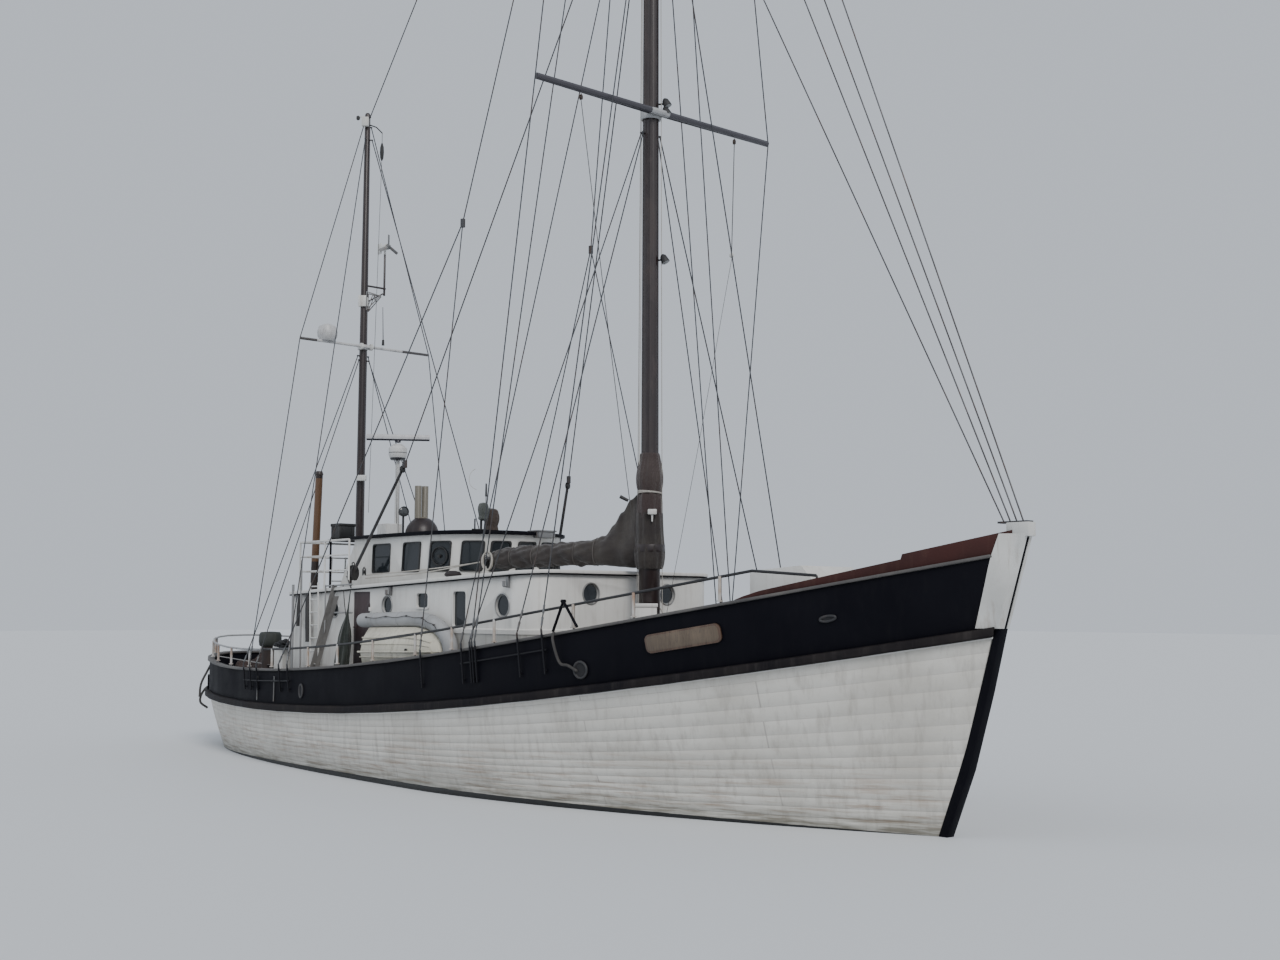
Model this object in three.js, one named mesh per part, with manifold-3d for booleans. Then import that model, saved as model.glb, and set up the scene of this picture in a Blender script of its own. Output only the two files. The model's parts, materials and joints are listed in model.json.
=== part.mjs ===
// A wooden motor fishing boat of about 22 m, converted with a ketch rig, afloat.
// Millimetres. +X forward, +Y to port, +Z up; the origin lies on the centreline at the waterline,
// 0.4 m forward of the middle of its length there.
import * as THREE from "three";
import { mergeVertices, toCreasedNormals } from "three/addons/utils/BufferGeometryUtils.js";
import Module from "manifold-3d";

const wasm = await Module();
wasm.setup();

// Driving dimensions
const gap = 0.4; // clearance between pieces that touch
const deckHalf = 2800; // half the beam at deck level
const waterHalf = 2600; // half the beam at the waterline
const stemWater = 9600; // stem at the waterline
const stemRail = 10420; // planking's end at the rubbing strake
const stemTop = 10760; // planking's end at the bulwark's top
const stemHead = 4180; // height of the stem's head
const sternRail = -11000; // stern at the rubbing strake
const stemHalf = 75; // half the siding of the stem, keel and sternpost
const keelBottom = -2450;
const railLow = 1030; // lowest height of the rubbing strake's lower edge
const railLowX = -6500;
const railRise = 1690; // its rise from there to the stem
const bulwarkLow = 1785; // lowest height of the bulwark's top
const bulwarkLowX = -6800;
const bulwarkRise = 1955; // its rise from there to the bow
const bulwarkRiseAft = 3800; // its rise over as long a run aft
const bulwarkThick = 60;
const deckThick = 60;
const deckCamber = 110;
const houseHalf = 2050; // half the width of the deckhouse
const houseFront = 3000;
const houseAft = -4900;
const houseCorner = 550; // radius of its front corners
const houseRoofMid = 3570; // height of the deckhouse roof's top at amidships
const houseRoofSlope = 0.038;
const wheelHalf = 1450; // half the width of the wheelhouse
const wheelFront = 0;
const wheelAft = -3600;
const wheelRound = 1700; // length of its rounded front
const wheelTop = 4400;
const mainX = 3500; // main mast
const mainTop = 24600;
const mainRadius = 142;
const mizzenX = -5880; // mizzen mast
const mizzenTop = 13900;
const mizzenRadius = 88;
const railHeight = 380; // guard rail's height over the bulwark's top
const pipe = 21; // radius of the guard rail's tube
const wire = 11; // radius of a stay

// Colours
function paint(color, roughness, metalness = 0) {
  return new THREE.MeshStandardMaterial({ color, roughness, metalness });
}
const whitePaint = paint(0xb9b6ae, 0.7);
const hullPaint = paint(0xa5a39c, 0.8);
const blackPaint = paint(0x15161a, 0.45);
const brownPaint = paint(0x4b2b22, 0.6);
const greyPaint = paint(0x8d8f91, 0.6);
const deckWood = paint(0x6d6354, 0.85);
const sparWood = paint(0x2d2020, 0.5);
const varnish = paint(0x6b4b2c, 0.4);
const steel = paint(0x77797b, 0.45, 0.9);
const bronze = paint(0x8a6a3c, 0.4, 0.9);
const canvas = paint(0x34322f, 0.95);
const collarGrey = paint(0x8f8f8d, 0.8);
const gelcoat = paint(0xa79f86, 0.5);

const boat = new THREE.Group();

// Solids
const vec = (x, y, z) => new THREE.Vector3(x, y, z);

function toSolid(geometry) {
  const bare = geometry.clone();
  bare.deleteAttribute("normal");
  bare.deleteAttribute("uv");
  const merged = mergeVertices(bare, 1e-3);
  return new wasm.Manifold(
    new wasm.Mesh({
      numProp: 3,
      vertProperties: merged.attributes.position.array,
      triVerts: new Uint32Array(merged.index.array),
    }),
  );
}

// Draws the two ends of each very short edge together, so that no face is a sliver.
const shortestEdge = 0.06;
function withoutSlivers(at, corners) {
  const kept = Array.from({ length: at.length / 3 }, (_, i) => i);
  const root = (i) => {
    while (kept[i] !== i) i = kept[i];
    return i;
  };
  const apart = (i, j) =>
    Math.hypot(at[3 * i] - at[3 * j], at[3 * i + 1] - at[3 * j + 1], at[3 * i + 2] - at[3 * j + 2]);
  for (let i = 0; i < corners.length; i += 1) {
    const j = i % 3 === 2 ? i - 2 : i + 1;
    const [a, b] = [root(corners[i]), root(corners[j])];
    if (a !== b && apart(corners[i], corners[j]) < shortestEdge) kept[b] = a;
  }
  const index = [];
  for (let i = 0; i < corners.length; i += 3) {
    const [a, b, c] = [root(corners[i]), root(corners[i + 1]), root(corners[i + 2])];
    if (a !== b && b !== c && c !== a) index.push(a, b, c);
  }
  return index;
}

function toGeometry(solid) {
  const made = solid.getMesh();
  const geometry = new THREE.BufferGeometry();
  geometry.setAttribute("position", new THREE.BufferAttribute(made.vertProperties, 3));
  geometry.setIndex(withoutSlivers(made.vertProperties, made.triVerts));
  return toCreasedNormals(geometry, 0.6);
}

function join(solids) {
  return solids.reduce((whole, next) => whole.add(next));
}

function cut(solid, cutters) {
  return cutters.reduce((whole, next) => whole.subtract(next), solid);
}

// Radius of a 24-sided hole that a 24-sided pin of some radius turns in.
const roundSides = 24;
const boreRadius = (radius) => (radius + 0.15) / Math.cos(Math.PI / roundSides);

function largest(solid) {
  return solid.decompose().sort((a, b) => b.volume() - a.volume())[0];
}

function mirrored(geometry) {
  const copy = geometry.index ? geometry.toNonIndexed() : geometry.clone();
  const at = copy.attributes.position;
  for (let i = 0; i < at.count; i += 3) {
    for (const j of [0, 1, 2]) at.setY(i + j, -at.getY(i + j));
    const second = [at.getX(i + 1), at.getY(i + 1), at.getZ(i + 1)];
    at.setXYZ(i + 1, at.getX(i + 2), at.getY(i + 2), at.getZ(i + 2));
    at.setXYZ(i + 2, ...second);
  }
  return copy;
}

function bothSides(solid) {
  return solid.add(toSolid(mirrored(toGeometry(solid))));
}

function place(name, solid, material) {
  const mesh = new THREE.Mesh(toGeometry(solid.simplify(0.05)), material);
  mesh.name = name;
  boat.add(mesh);
}

// A box from its lowest and highest corner.
function box(x0, x1, y0, y1, z0, z1) {
  const geometry = new THREE.BoxGeometry(x1 - x0, y1 - y0, z1 - z0);
  geometry.translate((x0 + x1) / 2, (y0 + y1) / 2, (z0 + z1) / 2);
  return toSolid(geometry);
}

// A round bar, or a cone, between two points.
function bar(from, to, radius, sides = 8, endRadius = radius) {
  const along = to.clone().sub(from);
  const geometry = new THREE.CylinderGeometry(endRadius, radius, along.length(), sides);
  geometry.translate(0, along.length() / 2, 0);
  const turn = new THREE.Quaternion().setFromUnitVectors(vec(0, 1, 0), along.normalize());
  geometry.applyQuaternion(turn);
  geometry.translate(from.x, from.y, from.z);
  return toSolid(geometry);
}

// A tube of even thickness through a run of points.
function tube(points, radius, sides = 6) {
  const tangent = (i) => {
    const ahead = points[Math.min(i + 1, points.length - 1)];
    return ahead.clone().sub(points[Math.max(i - 1, 0)]).normalize();
  };
  const first = tangent(0);
  const normal = Math.abs(first.z) < 0.9 ? vec(0, 0, 1) : vec(1, 0, 0);
  const rings = points.map((p, i) => {
    const t = tangent(i);
    normal.addScaledVector(t, -normal.dot(t)).normalize();
    const across = t.clone().cross(normal);
    return Array.from({ length: sides }, (_, j) => {
      const turn = (j / sides) * 2 * Math.PI;
      return p
        .clone()
        .addScaledVector(normal, radius * Math.cos(turn))
        .addScaledVector(across, radius * Math.sin(turn));
    });
  });
  return loft(rings);
}

// A solid of revolution about the vertical at (x, y): profile points are [radius, height].
function turned(x, y, profile, sides = 16) {
  const points = profile.map(([r, z]) => new THREE.Vector2(r, z));
  const geometry = new THREE.LatheGeometry(points, sides);
  geometry.rotateX(Math.PI / 2);
  geometry.translate(x, y, 0);
  return toSolid(geometry);
}

function ring(radius, thick, center, axis, sides = 20, tubeSides = 8) {
  const geometry = new THREE.TorusGeometry(radius, thick, tubeSides, sides);
  geometry.applyQuaternion(new THREE.Quaternion().setFromUnitVectors(vec(0, 0, 1), axis));
  geometry.translate(center.x, center.y, center.z);
  return toSolid(geometry);
}

// An upright prism from a list of plan points.
function prism(points, z0, z1) {
  const shape = new THREE.Shape(points.map(([x, y]) => new THREE.Vector2(x, y)));
  const geometry = new THREE.ExtrudeGeometry(shape, { depth: z1 - z0, bevelEnabled: false });
  geometry.translate(0, 0, z0);
  return toSolid(geometry);
}

// A plate on edge along the centreline from a list of profile points [x, z].
function profilePlate(points, half) {
  const shape = new THREE.Shape(points.map(([x, z]) => new THREE.Vector2(x, z)));
  const geometry = new THREE.ExtrudeGeometry(shape, { depth: 2 * half, bevelEnabled: false });
  geometry.translate(0, 0, -half);
  geometry.rotateX(Math.PI / 2);
  return toSolid(geometry);
}

// A closed solid through rings of points, all rings alike in number; the ends are capped by ladders.
function loft(rings, endless = false) {
  const count = rings[0].length;
  const positions = rings.flat().flatMap((p) => [p.x, p.y, p.z]);
  const index = [];
  const spans = endless ? rings.length : rings.length - 1;
  for (let i = 0; i < spans; i += 1) {
    const next = (i + 1) % rings.length;
    for (let j = 0; j < count; j += 1) {
      const k = (j + 1) % count;
      const [a, b] = [i * count + j, i * count + k];
      const [c, d] = [next * count + k, next * count + j];
      index.push(a, b, c, a, c, d);
    }
  }
  if (!endless) {
    const last = (rings.length - 1) * count;
    for (let low = 0, high = count - 1; high - low > 1; ) {
      index.push(low, high, low + 1);
      index.push(last + low, last + low + 1, last + high);
      low += 1;
      if (high - low > 1) {
        index.push(low, high, high - 1);
        index.push(last + low, last + high - 1, last + high);
        high -= 1;
      }
    }
  }
  const geometry = new THREE.BufferGeometry();
  geometry.setAttribute("position", new THREE.Float32BufferAttribute(positions, 3));
  geometry.setIndex(index);
  const solid = toSolid(geometry);
  if (solid.volume() > 0) return solid;
  geometry.setIndex(index.map((_, i) => index[i - (i % 3) + [0, 2, 1][i % 3]]));
  return toSolid(geometry);
}

const lerp = THREE.MathUtils.lerp;
const clamp = THREE.MathUtils.clamp;

// Heights along the boat
function railHeightAt(x) {
  return railLow + railRise * ((x - railLowX) / (stemRail + 220 - railLowX)) ** 2;
}

function deckSideAt(x) {
  return railHeightAt(x) + 130;
}

function bulwarkTopAt(x) {
  const run = Math.abs(x - bulwarkLowX) / (10590 - bulwarkLowX);
  return bulwarkLow + (x > bulwarkLowX ? bulwarkRise * run ** 1.85 : bulwarkRiseAft * run ** 2);
}

function houseRoofAt(x) {
  return houseRoofMid + houseRoofSlope * x;
}

// Breadth of one level line of the hull: full amidships, fine at the bow, round or fine at the stern.
function halfBreadth(x, line) {
  const { half, aft, fore, middle, bow, run, round } = line;
  if (x >= middle) {
    const t = clamp((x - middle) / (fore - middle), 0, 1);
    return stemHalf + (half - stemHalf) * (1 - t ** bow);
  }
  const t = clamp((middle - x) / (middle - aft), 0, 1);
  return stemHalf + (half - stemHalf) * (1 - t ** run) ** round;
}

// Level lines of the hull from the rabbet up; height is a number, or the share of the way from the
// waterline to the rubbing strake.
const levelLines = [
  { height: -1900, half: 80, aft: -6300, fore: 7300, middle: 0, bow: 2, run: 2, round: 1 },
  { height: -1650, half: 560, aft: -6900, fore: 8000, middle: 0, bow: 1.3, run: 1.2, round: 1 },
  { height: -1200, half: 1500, aft: -7300, fore: 8600, middle: 0, bow: 1.35, run: 1.35, round: 1 },
  { height: -600, half: 2330, aft: -8700, fore: 9100, middle: 200, bow: 1.5, run: 1.9, round: 0.95 },
  { height: 0, half: waterHalf, aft: -10450, fore: stemWater - 130, middle: 600, bow: 1.65, run: 2.3, round: 0.47 },
  { share: 0.45, half: 2730, aft: -10740, fore: 9950, middle: 1200, bow: 1.85, run: 2.4, round: 0.46 },
  { share: 1, half: deckHalf, aft: sternRail, fore: stemRail, middle: 1800, bow: 2.05, run: 2.4, round: 0.42 },
];
const railLine = levelLines[6];
const topLine = { ...railLine, aft: sternRail - 20, fore: stemTop, middle: 2000, bow: 2.1 };

function levelHeight(line, x) {
  return line.share === undefined ? line.height : line.share * deckSideAt(x);
}

const stations = 25;

function stationAt(line, i) {
  const t = (1 - Math.cos((Math.PI * i) / (stations - 1))) / 2;
  return lerp(line.aft, line.fore, t);
}

const deckInset = bulwarkThick + 8;

// Plan outline of a level line on the port side, stern to bow, moved inwards by some distance.
function edgePath(line, inset) {
  const raw = [];
  for (let i = 0; i < stations; i += 1) {
    const x = stationAt(line, i);
    raw.push([x, halfBreadth(x, line)]);
  }
  return raw.map(([x, y], i) => {
    const before = i > 0 ? raw[i - 1] : [x, -y];
    const after = i < stations - 1 ? raw[i + 1] : [2 * x - before[0], 2 * y - before[1]];
    const [dx, dy] = [after[0] - before[0], after[1] - before[1]];
    const long = Math.hypot(dx, dy);
    return [x + (dy / long) * inset, y - (dx / long) * inset];
  });
}

// A band that runs round the stern from one side of the bow to the other, from corner paths of the
// port side; each corner is a list of points.
function band(corners) {
  const port = corners[0].map((_, i) => corners.map((corner) => corner[i]));
  const starboard = port.map((section) => section.map((p) => vec(p.x, -p.y, p.z)));
  return loft([...starboard.reverse(), ...port]);
}

function corner(line, inset, heightAt) {
  return edgePath(line, inset).map(([x, y]) => vec(x, y, heightAt(x, y)));
}

function deckHeight(x, y) {
  const half = halfBreadth(x, railLine);
  const crown = deckCamber * Math.min(1, half / 900);
  return deckSideAt(x) + crown * clamp(1 - Math.abs(y) / half, 0, 1);
}

// The hull up to the deck; grow thickens it for use as a cutter.
function hullBody(grow = 0) {
  const rings = [];
  for (let i = 0; i < stations; i += 1) {
    const end = i === 0 ? -grow : i === stations - 1 ? grow : 0;
    const side = levelLines.map((line) => {
      const [x, y] = edgePath(line, -grow)[i];
      return vec(x + end, y, levelHeight(line, stationAt(line, i)));
    });
    side[0].z -= grow;
    const top = side[side.length - 1];
    const under = deckThick + gap - grow;
    const crown = vec(top.x, 0, deckHeight(top.x, 0) - under);
    top.z = deckHeight(top.x, top.y) - under;
    const other = side.map((p) => vec(p.x, -p.y, p.z)).reverse();
    rings.push([...side, crown, ...other]);
  }
  return loft(rings);
}

function deckSlab(under, over) {
  const edge = edgePath(railLine, deckInset);
  const rings = edge.slice(1, -1).map(([x, half]) => {
    const y = Math.max(half, 12);
    const side = deckHeight(x, y);
    const crown = deckHeight(x, 0);
    return [
      vec(x, y, side - under),
      vec(x, y, side + over),
      vec(x, 0, crown + over),
      vec(x, -y, side + over),
      vec(x, -y, side - under),
      vec(x, 0, crown - under),
    ];
  });
  return loft(rings);
}

const hullCutter = hullBody(gap);
const deckFill = deckSlab(1500, gap);

// Hull, backbone and what hangs below
const rudderX = -8620;
const shaftZ = -1600;
const propellerX = -7800;
const stock = bar(vec(rudderX, 0, -800), vec(rudderX, 0, 560), 52, 12);
const rudderTube = bar(vec(rudderX, 0, -1500), vec(rudderX, 0, 640), 60, 12);
place("hull", cut(hullBody(), [rudderTube]), hullPaint);

const stemFace = [
  [10975, stemHead],
  [10530, 2780],
  [10310, 1960],
  [9990, 920],
  [9610, 0],
  [9100, -900],
  [8300, -1700],
  [7200, -2180],
];
const backboneOutline = [
  ...stemFace,
  [-8760, keelBottom],
  [-8760, keelBottom + 170],
  [-7480, keelBottom + 230],
  [-7480, -900],
  [-6000, -1300],
  [7000, -1500],
  [9000, 0],
  [stemRail - 300, deckSideAt(stemRail) - 150],
  [stemRail - 40, deckSideAt(stemRail) - 75],
  [10780, stemHead],
];
const sternBoss = bar(vec(-7560, 0, shaftZ), vec(-7100, 0, shaftZ), 150, 14);
const shaftHole = bar(vec(-7700, 0, shaftZ), vec(-7160, 0, shaftZ), boreRadius(50), roundSides);
const pintleHole = bar(
  vec(rudderX, 0, keelBottom + 110 - gap),
  vec(rudderX, 0, -2200),
  boreRadius(30),
  roundSides,
);
const backbone = profilePlate(backboneOutline, stemHalf).add(sternBoss);
place("keel_and_stem", cut(backbone, [hullCutter, shaftHole, pintleHole]), blackPaint);

const bladeOutline = [
  [rudderX + 70, -2180],
  [rudderX + 70, -720],
  [-9300, -500],
  [-9460, -1000],
  [-9420, -2180],
];
const pintle = bar(vec(rudderX, 0, keelBottom + 110), vec(rudderX, 0, -2100), 30, roundSides);
place("rudder", join([profilePlate(bladeOutline, 38), stock, pintle]), blackPaint);

function propellerBlade(turn) {
  const shape = new THREE.Shape();
  shape.moveTo(-60, 60);
  shape.bezierCurveTo(-190, 220, -190, 470, 0, 530);
  shape.bezierCurveTo(190, 470, 190, 220, 60, 60);
  const geometry = new THREE.ExtrudeGeometry(shape, {
    depth: 24,
    bevelEnabled: false,
    curveSegments: 5,
  });
  geometry.translate(0, 0, -12);
  geometry.rotateY(Math.PI / 2 - 0.6);
  geometry.rotateX(Math.PI / 2 + turn);
  geometry.translate(propellerX, 0, shaftZ);
  return toSolid(geometry);
}
const propellerHub = bar(vec(-7930, 0, shaftZ), vec(-7640, 0, shaftZ), 85, 16, 100);
const shaft = bar(vec(-7700, 0, shaftZ), vec(-7180, 0, shaftZ), 50, roundSides);
const blades = [0, 1, 2, 3].map((i) => propellerBlade((i * Math.PI) / 2));
place("propeller", join([propellerHub, shaft, ...blades]), bronze);

// Deck, bulwark and strakes
const slab = cut(deckSlab(deckThick, 0), [hullCutter]);
place("deck", slab, deckWood);

const bulwarkFoot = (x, y) => deckHeight(x, y) - deckThick;
const bulwark = band([
  corner(railLine, 0, bulwarkFoot),
  corner(topLine, 0, bulwarkTopAt),
  corner(topLine, bulwarkThick, bulwarkTopAt),
  corner(railLine, bulwarkThick, bulwarkFoot),
]);
const stemCutter = profilePlate(
  [
    [stemRail - 41, 2000],
    [stemRail - 41, deckSideAt(stemRail) - 60],
    [10779, stemHead],
    [10900, 4700],
    [11600, 4700],
    [11600, 2000],
  ],
  stemHalf + gap,
);
place("bulwark", cut(bulwark, [hullCutter, stemCutter]), blackPaint);

// The bulwark with a little clearance, to fit what is bolted to it
const bulwarkFace = band([
  corner(railLine, -gap, (x, y) => bulwarkFoot(x, y) - gap),
  corner(topLine, -gap, bulwarkTopAt),
  corner(topLine, bulwarkThick, bulwarkTopAt),
  corner(railLine, bulwarkThick, (x, y) => bulwarkFoot(x, y) - gap),
]);
const capThick = 45;
const capTopAt = (x) => bulwarkTopAt(x) + capThick + 2 * gap;
const cap = band([
  corner(topLine, -45, (x) => bulwarkTopAt(x) + gap),
  corner(topLine, -45, (x) => bulwarkTopAt(x) + capThick),
  corner(topLine, bulwarkThick + 40, (x) => bulwarkTopAt(x) + capThick),
  corner(topLine, bulwarkThick + 40, (x) => bulwarkTopAt(x) + gap),
]);
place("cap_rail", cut(cap, [stemCutter]), blackPaint);

// The raised strake at the bow, on top of the cap rail
const washStart = 7350;
const washStep = 9500;
const washEnd = stemTop - 20;
function washHeightAt(x) {
  const rise = clamp((x - washStart) / 350, 0, 1) ** 0.5 * 55;
  const slope = clamp((x - washStart) / (washEnd - washStart), 0, 1) * 150;
  return rise + slope + (x > washStep ? 65 : 0);
}
function washStrake() {
  const places = [0, 120, 350, 900, 1500, 2140, 2160, 2700, 3100, washEnd - washStart];
  const rings = places.map((run) => {
    const x = washStart + run;
    const y = halfBreadth(x, topLine);
    const low = capTopAt(x) - 20;
    const high = low + 20 + Math.max(8, washHeightAt(x));
    const inner = Math.max(y - 50, 6);
    return [vec(x, y, low), vec(x, y, high), vec(x, inner, high), vec(x, inner, low)];
  });
  const breast = prism(
    [
      [washEnd - 420, halfBreadth(washEnd - 420, topLine) - 20],
      [washEnd - 10, stemHalf - 15],
      [washEnd - 10, 15 - stemHalf],
      [washEnd - 420, 20 - halfBreadth(washEnd - 420, topLine)],
    ],
    capTopAt(washEnd) + 20,
    capTopAt(washEnd) + 150,
  );
  const capFace = band([
    corner(topLine, -60, (x) => bulwarkTopAt(x)),
    corner(topLine, -60, (x) => bulwarkTopAt(x) + capThick + gap),
    corner(topLine, bulwarkThick + 60, (x) => bulwarkTopAt(x) + capThick + gap),
    corner(topLine, bulwarkThick + 60, (x) => bulwarkTopAt(x)),
  ]);
  return cut(join([bothSides(loft(rings)), breast]), [capFace, stemCutter]);
}
place("bow_wash_strake", washStrake(), brownPaint);

// Rubbing strake outside the deck's edge: five corner lines, the inner ones along the planking
const rubDeep = 150;
const rubProud = 85;
function rubInner(up) {
  const joint = corner(railLine, -4, bulwarkFoot);
  const other = up > 70 ? corner(topLine, -4, bulwarkTopAt) : corner(levelLines[5], -4, (x) => 0.45 * deckSideAt(x));
  return joint.map((p, i) => {
    const share = (railHeightAt(p.x) + up - p.z) / (other[i].z - p.z);
    return p.clone().lerp(other[i], share);
  });
}
function rubOuter(up) {
  return corner(railLine, -rubProud, (x) => railHeightAt(x) + up);
}
const rub = band([rubOuter(20), rubOuter(rubDeep - 25), rubInner(rubDeep), corner(railLine, -4, bulwarkFoot), rubInner(0)]);
place("rubbing_strake", cut(rub, [stemCutter]), blackPaint);

// Deckhouse
function roundedPlan(half, aft, front, radius, inset) {
  const points = [[aft + inset, -half + inset]];
  const steps = 6;
  for (const side of [-1, 1]) {
    for (let i = 0; i <= steps; i += 1) {
      const turn = ((side < 0 ? i : steps - i) / steps) * (Math.PI / 2);
      const r = radius - inset;
      const x = front - radius + r * Math.sin(turn);
      const y = side * (half - radius + r * Math.cos(turn));
      points.push([x, y]);
    }
  }
  points.push([aft + inset, half - inset]);
  return points;
}
const housePlan = (inset) => roundedPlan(houseHalf, houseAft, houseFront, houseCorner, inset);
const houseWall = 60;
const roofThick = 60;
function slopedFill(z0, z1) {
  const slope = [
    [-9000, houseRoofAt(-9000) + z0],
    [9000, houseRoofAt(9000) + z0],
    [9000, houseRoofAt(9000) + z1],
    [-9000, houseRoofAt(-9000) + z1],
  ];
  return profilePlate(slope, 3500);
}
const doorX = -2280;
const doorWide = 580;
const doorSill = 330;
const doorTop = 3360;
// Openings of the deckhouse's sides: place along it, height of the centre, width, height; 0 is round.
const sideOpenings = [
  { x: -3270, z: 3030, wide: 300, high: 0 },
  { x: -1390, z: 3110, wide: 330, high: 0 },
  { x: -220, z: 3190, wide: 380, high: 270 },
  { x: 935, z: 3040, wide: 400, high: 620 },
  { x: 2170, z: 3100, wide: 380, high: 0 },
];
function opening({ x, z, wide, high }) {
  if (high) return box(x - wide / 2, x + wide / 2, -2600, 2600, z - high / 2, z + high / 2);
  return bar(vec(x, -2600, z), vec(x, 2600, z), wide / 2, 16);
}
const frontPorts = [-850, 850].map((y) =>
  bar(vec(2300, y, 3300), vec(3400, y, 3300), 170, 16),
);
const houseDoorHole = box(
  doorX - doorWide / 2,
  doorX + doorWide / 2,
  -2600,
  2600,
  deckSideAt(doorX) + doorSill,
  doorTop,
);
const houseShell = cut(prism(housePlan(0), 1000, 4200), [prism(housePlan(houseWall), 900, 4300)]);
const wheelStraight = wheelFront - wheelRound;
function wheelPlan(inset) {
  const points = [[wheelAft + inset, -wheelHalf + inset]];
  const steps = 16;
  for (let i = 0; i <= steps; i += 1) {
    const turn = (i / steps - 0.5) * Math.PI;
    const c = Math.cos(turn);
    const s = Math.sin(turn);
    const x = wheelStraight + (wheelRound - inset) * Math.abs(c) ** (2 / 2.4);
    const y = Math.sign(s) * (wheelHalf - inset) * Math.abs(s) ** (2 / 2.4);
    points.push([x, y]);
  }
  points.push([wheelAft + inset, wheelHalf - inset]);
  return points;
}
const wheelWall = 55;
const roofSlab = cut(prism(housePlan(-70), 2900, 4300), [
  slopedFill(-1500, -roofThick),
  slopedFill(0, 1500),
  prism(wheelPlan(wheelWall + 60), 2800, 4400),
]);
place("deckhouse_roof", roofSlab, whitePaint);
const roofFill = slopedFill(-1500, gap);

// A pair of hinge halves at height z: the leaf's half reaches one way from the pin, the frame's the
// other. along points from the pin to the frame, out points away from the wall.
const pinOut = 13;
function hingeHalf(pin, along, out, z0, z1, reach, sink) {
  const at = (a, o) => [pin[0] + along[0] * a + out[0] * o, pin[1] + along[1] * a + out[1] * o];
  const plate = (a0, a1, o0, o1) => {
    const [x0, y0] = at(a0, o0);
    const [x1, y1] = at(a1, o1);
    return box(Math.min(x0, x1), Math.max(x0, x1), Math.min(y0, y1), Math.max(y0, y1), z0, z1);
  };
  return join([
    bar(vec(pin[0], pin[1], z0), vec(pin[0], pin[1], z1), 11, 10),
    plate(0, reach, -11, 9),
    plate(Math.sign(reach) * 9, reach, -sink, 9),
  ]);
}
function hinges(pin, along, out, heights) {
  const long = 70;
  return {
    leaf: heights.map((z) => hingeHalf(pin, along, out, z + long + gap, z + 2 * long, -55, pinOut + 12)),
    frame: heights.map((z) => hingeHalf(pin, along, out, z, z + long, 45, pinOut + 5)),
  };
}
const doorHinges = {};
for (const side of [-1, 1]) {
  const pin = [doorX + doorWide / 2, side * (houseHalf + pinOut)];
  doorHinges[side] = hinges(pin, [1, 0], [0, side], [1850, 3000]);
}
for (const [side, name] of [
  [-1, "side_door_starboard"],
  [1, "side_door_port"],
]) {
  const y = side * (houseHalf - houseWall / 2);
  const low = deckSideAt(doorX) + doorSill + 8;
  const half = doorWide / 2 - 6;
  const leaf = box(doorX - half, doorX + half, y - 24, y + 24, low, doorTop - 8);
  const handle = bar(vec(doorX - 220, y, 2700), vec(doorX - 220, y + side * 70, 2700), 12, 8);
  const grip = bar(vec(doorX - 220, y + side * 60, 2700), vec(doorX - 110, y + side * 60, 2700), 11, 8);
  place(name, join([leaf, handle, grip, ...doorHinges[side].leaf]), brownPaint);
}

const houseWalls = cut(houseShell, [
  deckFill,
  slopedFill(-roofThick - gap, 2000),
  ...sideOpenings.map(opening),
  ...frontPorts,
  houseDoorHole,
]);
place(
  "deckhouse_walls",
  join([houseWalls, ...doorHinges[-1].frame, ...doorHinges[1].frame]),
  whitePaint,
);

// Wheelhouse: windows given by their place along the rounded front
const wheelWindows = [
  { x: -2620, y: -1450, turn: -90, wide: 620 },
  { x: -1600, y: -1450, turn: -90, wide: 560 },
  { x: -840, y: -1330, turn: -68, wide: 440 },
  { x: -310, y: -990, turn: -45, wide: 400 },
  { x: 20, y: -540, turn: -12, wide: 370 },
];
const windowLow = 3740;
const windowHigh = 4270;
function windowCutter(x, y, turn, wide) {
  const geometry = new THREE.BoxGeometry(500, wide, windowHigh - windowLow);
  geometry.rotateZ(THREE.MathUtils.degToRad(turn));
  geometry.translate(x, y, (windowLow + windowHigh) / 2);
  return toSolid(geometry);
}
const wheelCutters = wheelWindows.flatMap(({ x, y, turn, wide }) => [
  windowCutter(x, y, turn, wide),
  windowCutter(x, -y, -turn, wide),
]);
const frontWindow = windowCutter(80, 0, 0, 380);
const aftDoorY = -700;
const aftDoorWide = 600;
const wheelDoorLow = houseRoofAt(wheelAft) + 120;
const aftDoorHole = box(
  wheelAft - 200,
  wheelAft + 200,
  aftDoorY - aftDoorWide / 2,
  aftDoorY + aftDoorWide / 2,
  wheelDoorLow,
  4280,
);
// The front leans forward with height, the aft wall stands upright.
function leanForward(solid) {
  const geometry = toGeometry(solid);
  const at = geometry.attributes.position;
  for (let i = 0; i < at.count; i += 1) {
    const share = clamp((at.getX(i) - wheelAft) / (wheelFront - wheelAft), 0, 1);
    const up = at.getZ(i) - houseRoofAt(wheelFront);
    at.setX(i, at.getX(i) + share * up * 0.16);
  }
  return toSolid(geometry);
}
const wheelShell = cut(prism(wheelPlan(0), 3000, wheelTop), [prism(wheelPlan(wheelWall), 2900, 4500)]);
const wheelWalls = leanForward(cut(wheelShell, [...wheelCutters, frontWindow, aftDoorHole]));
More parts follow.
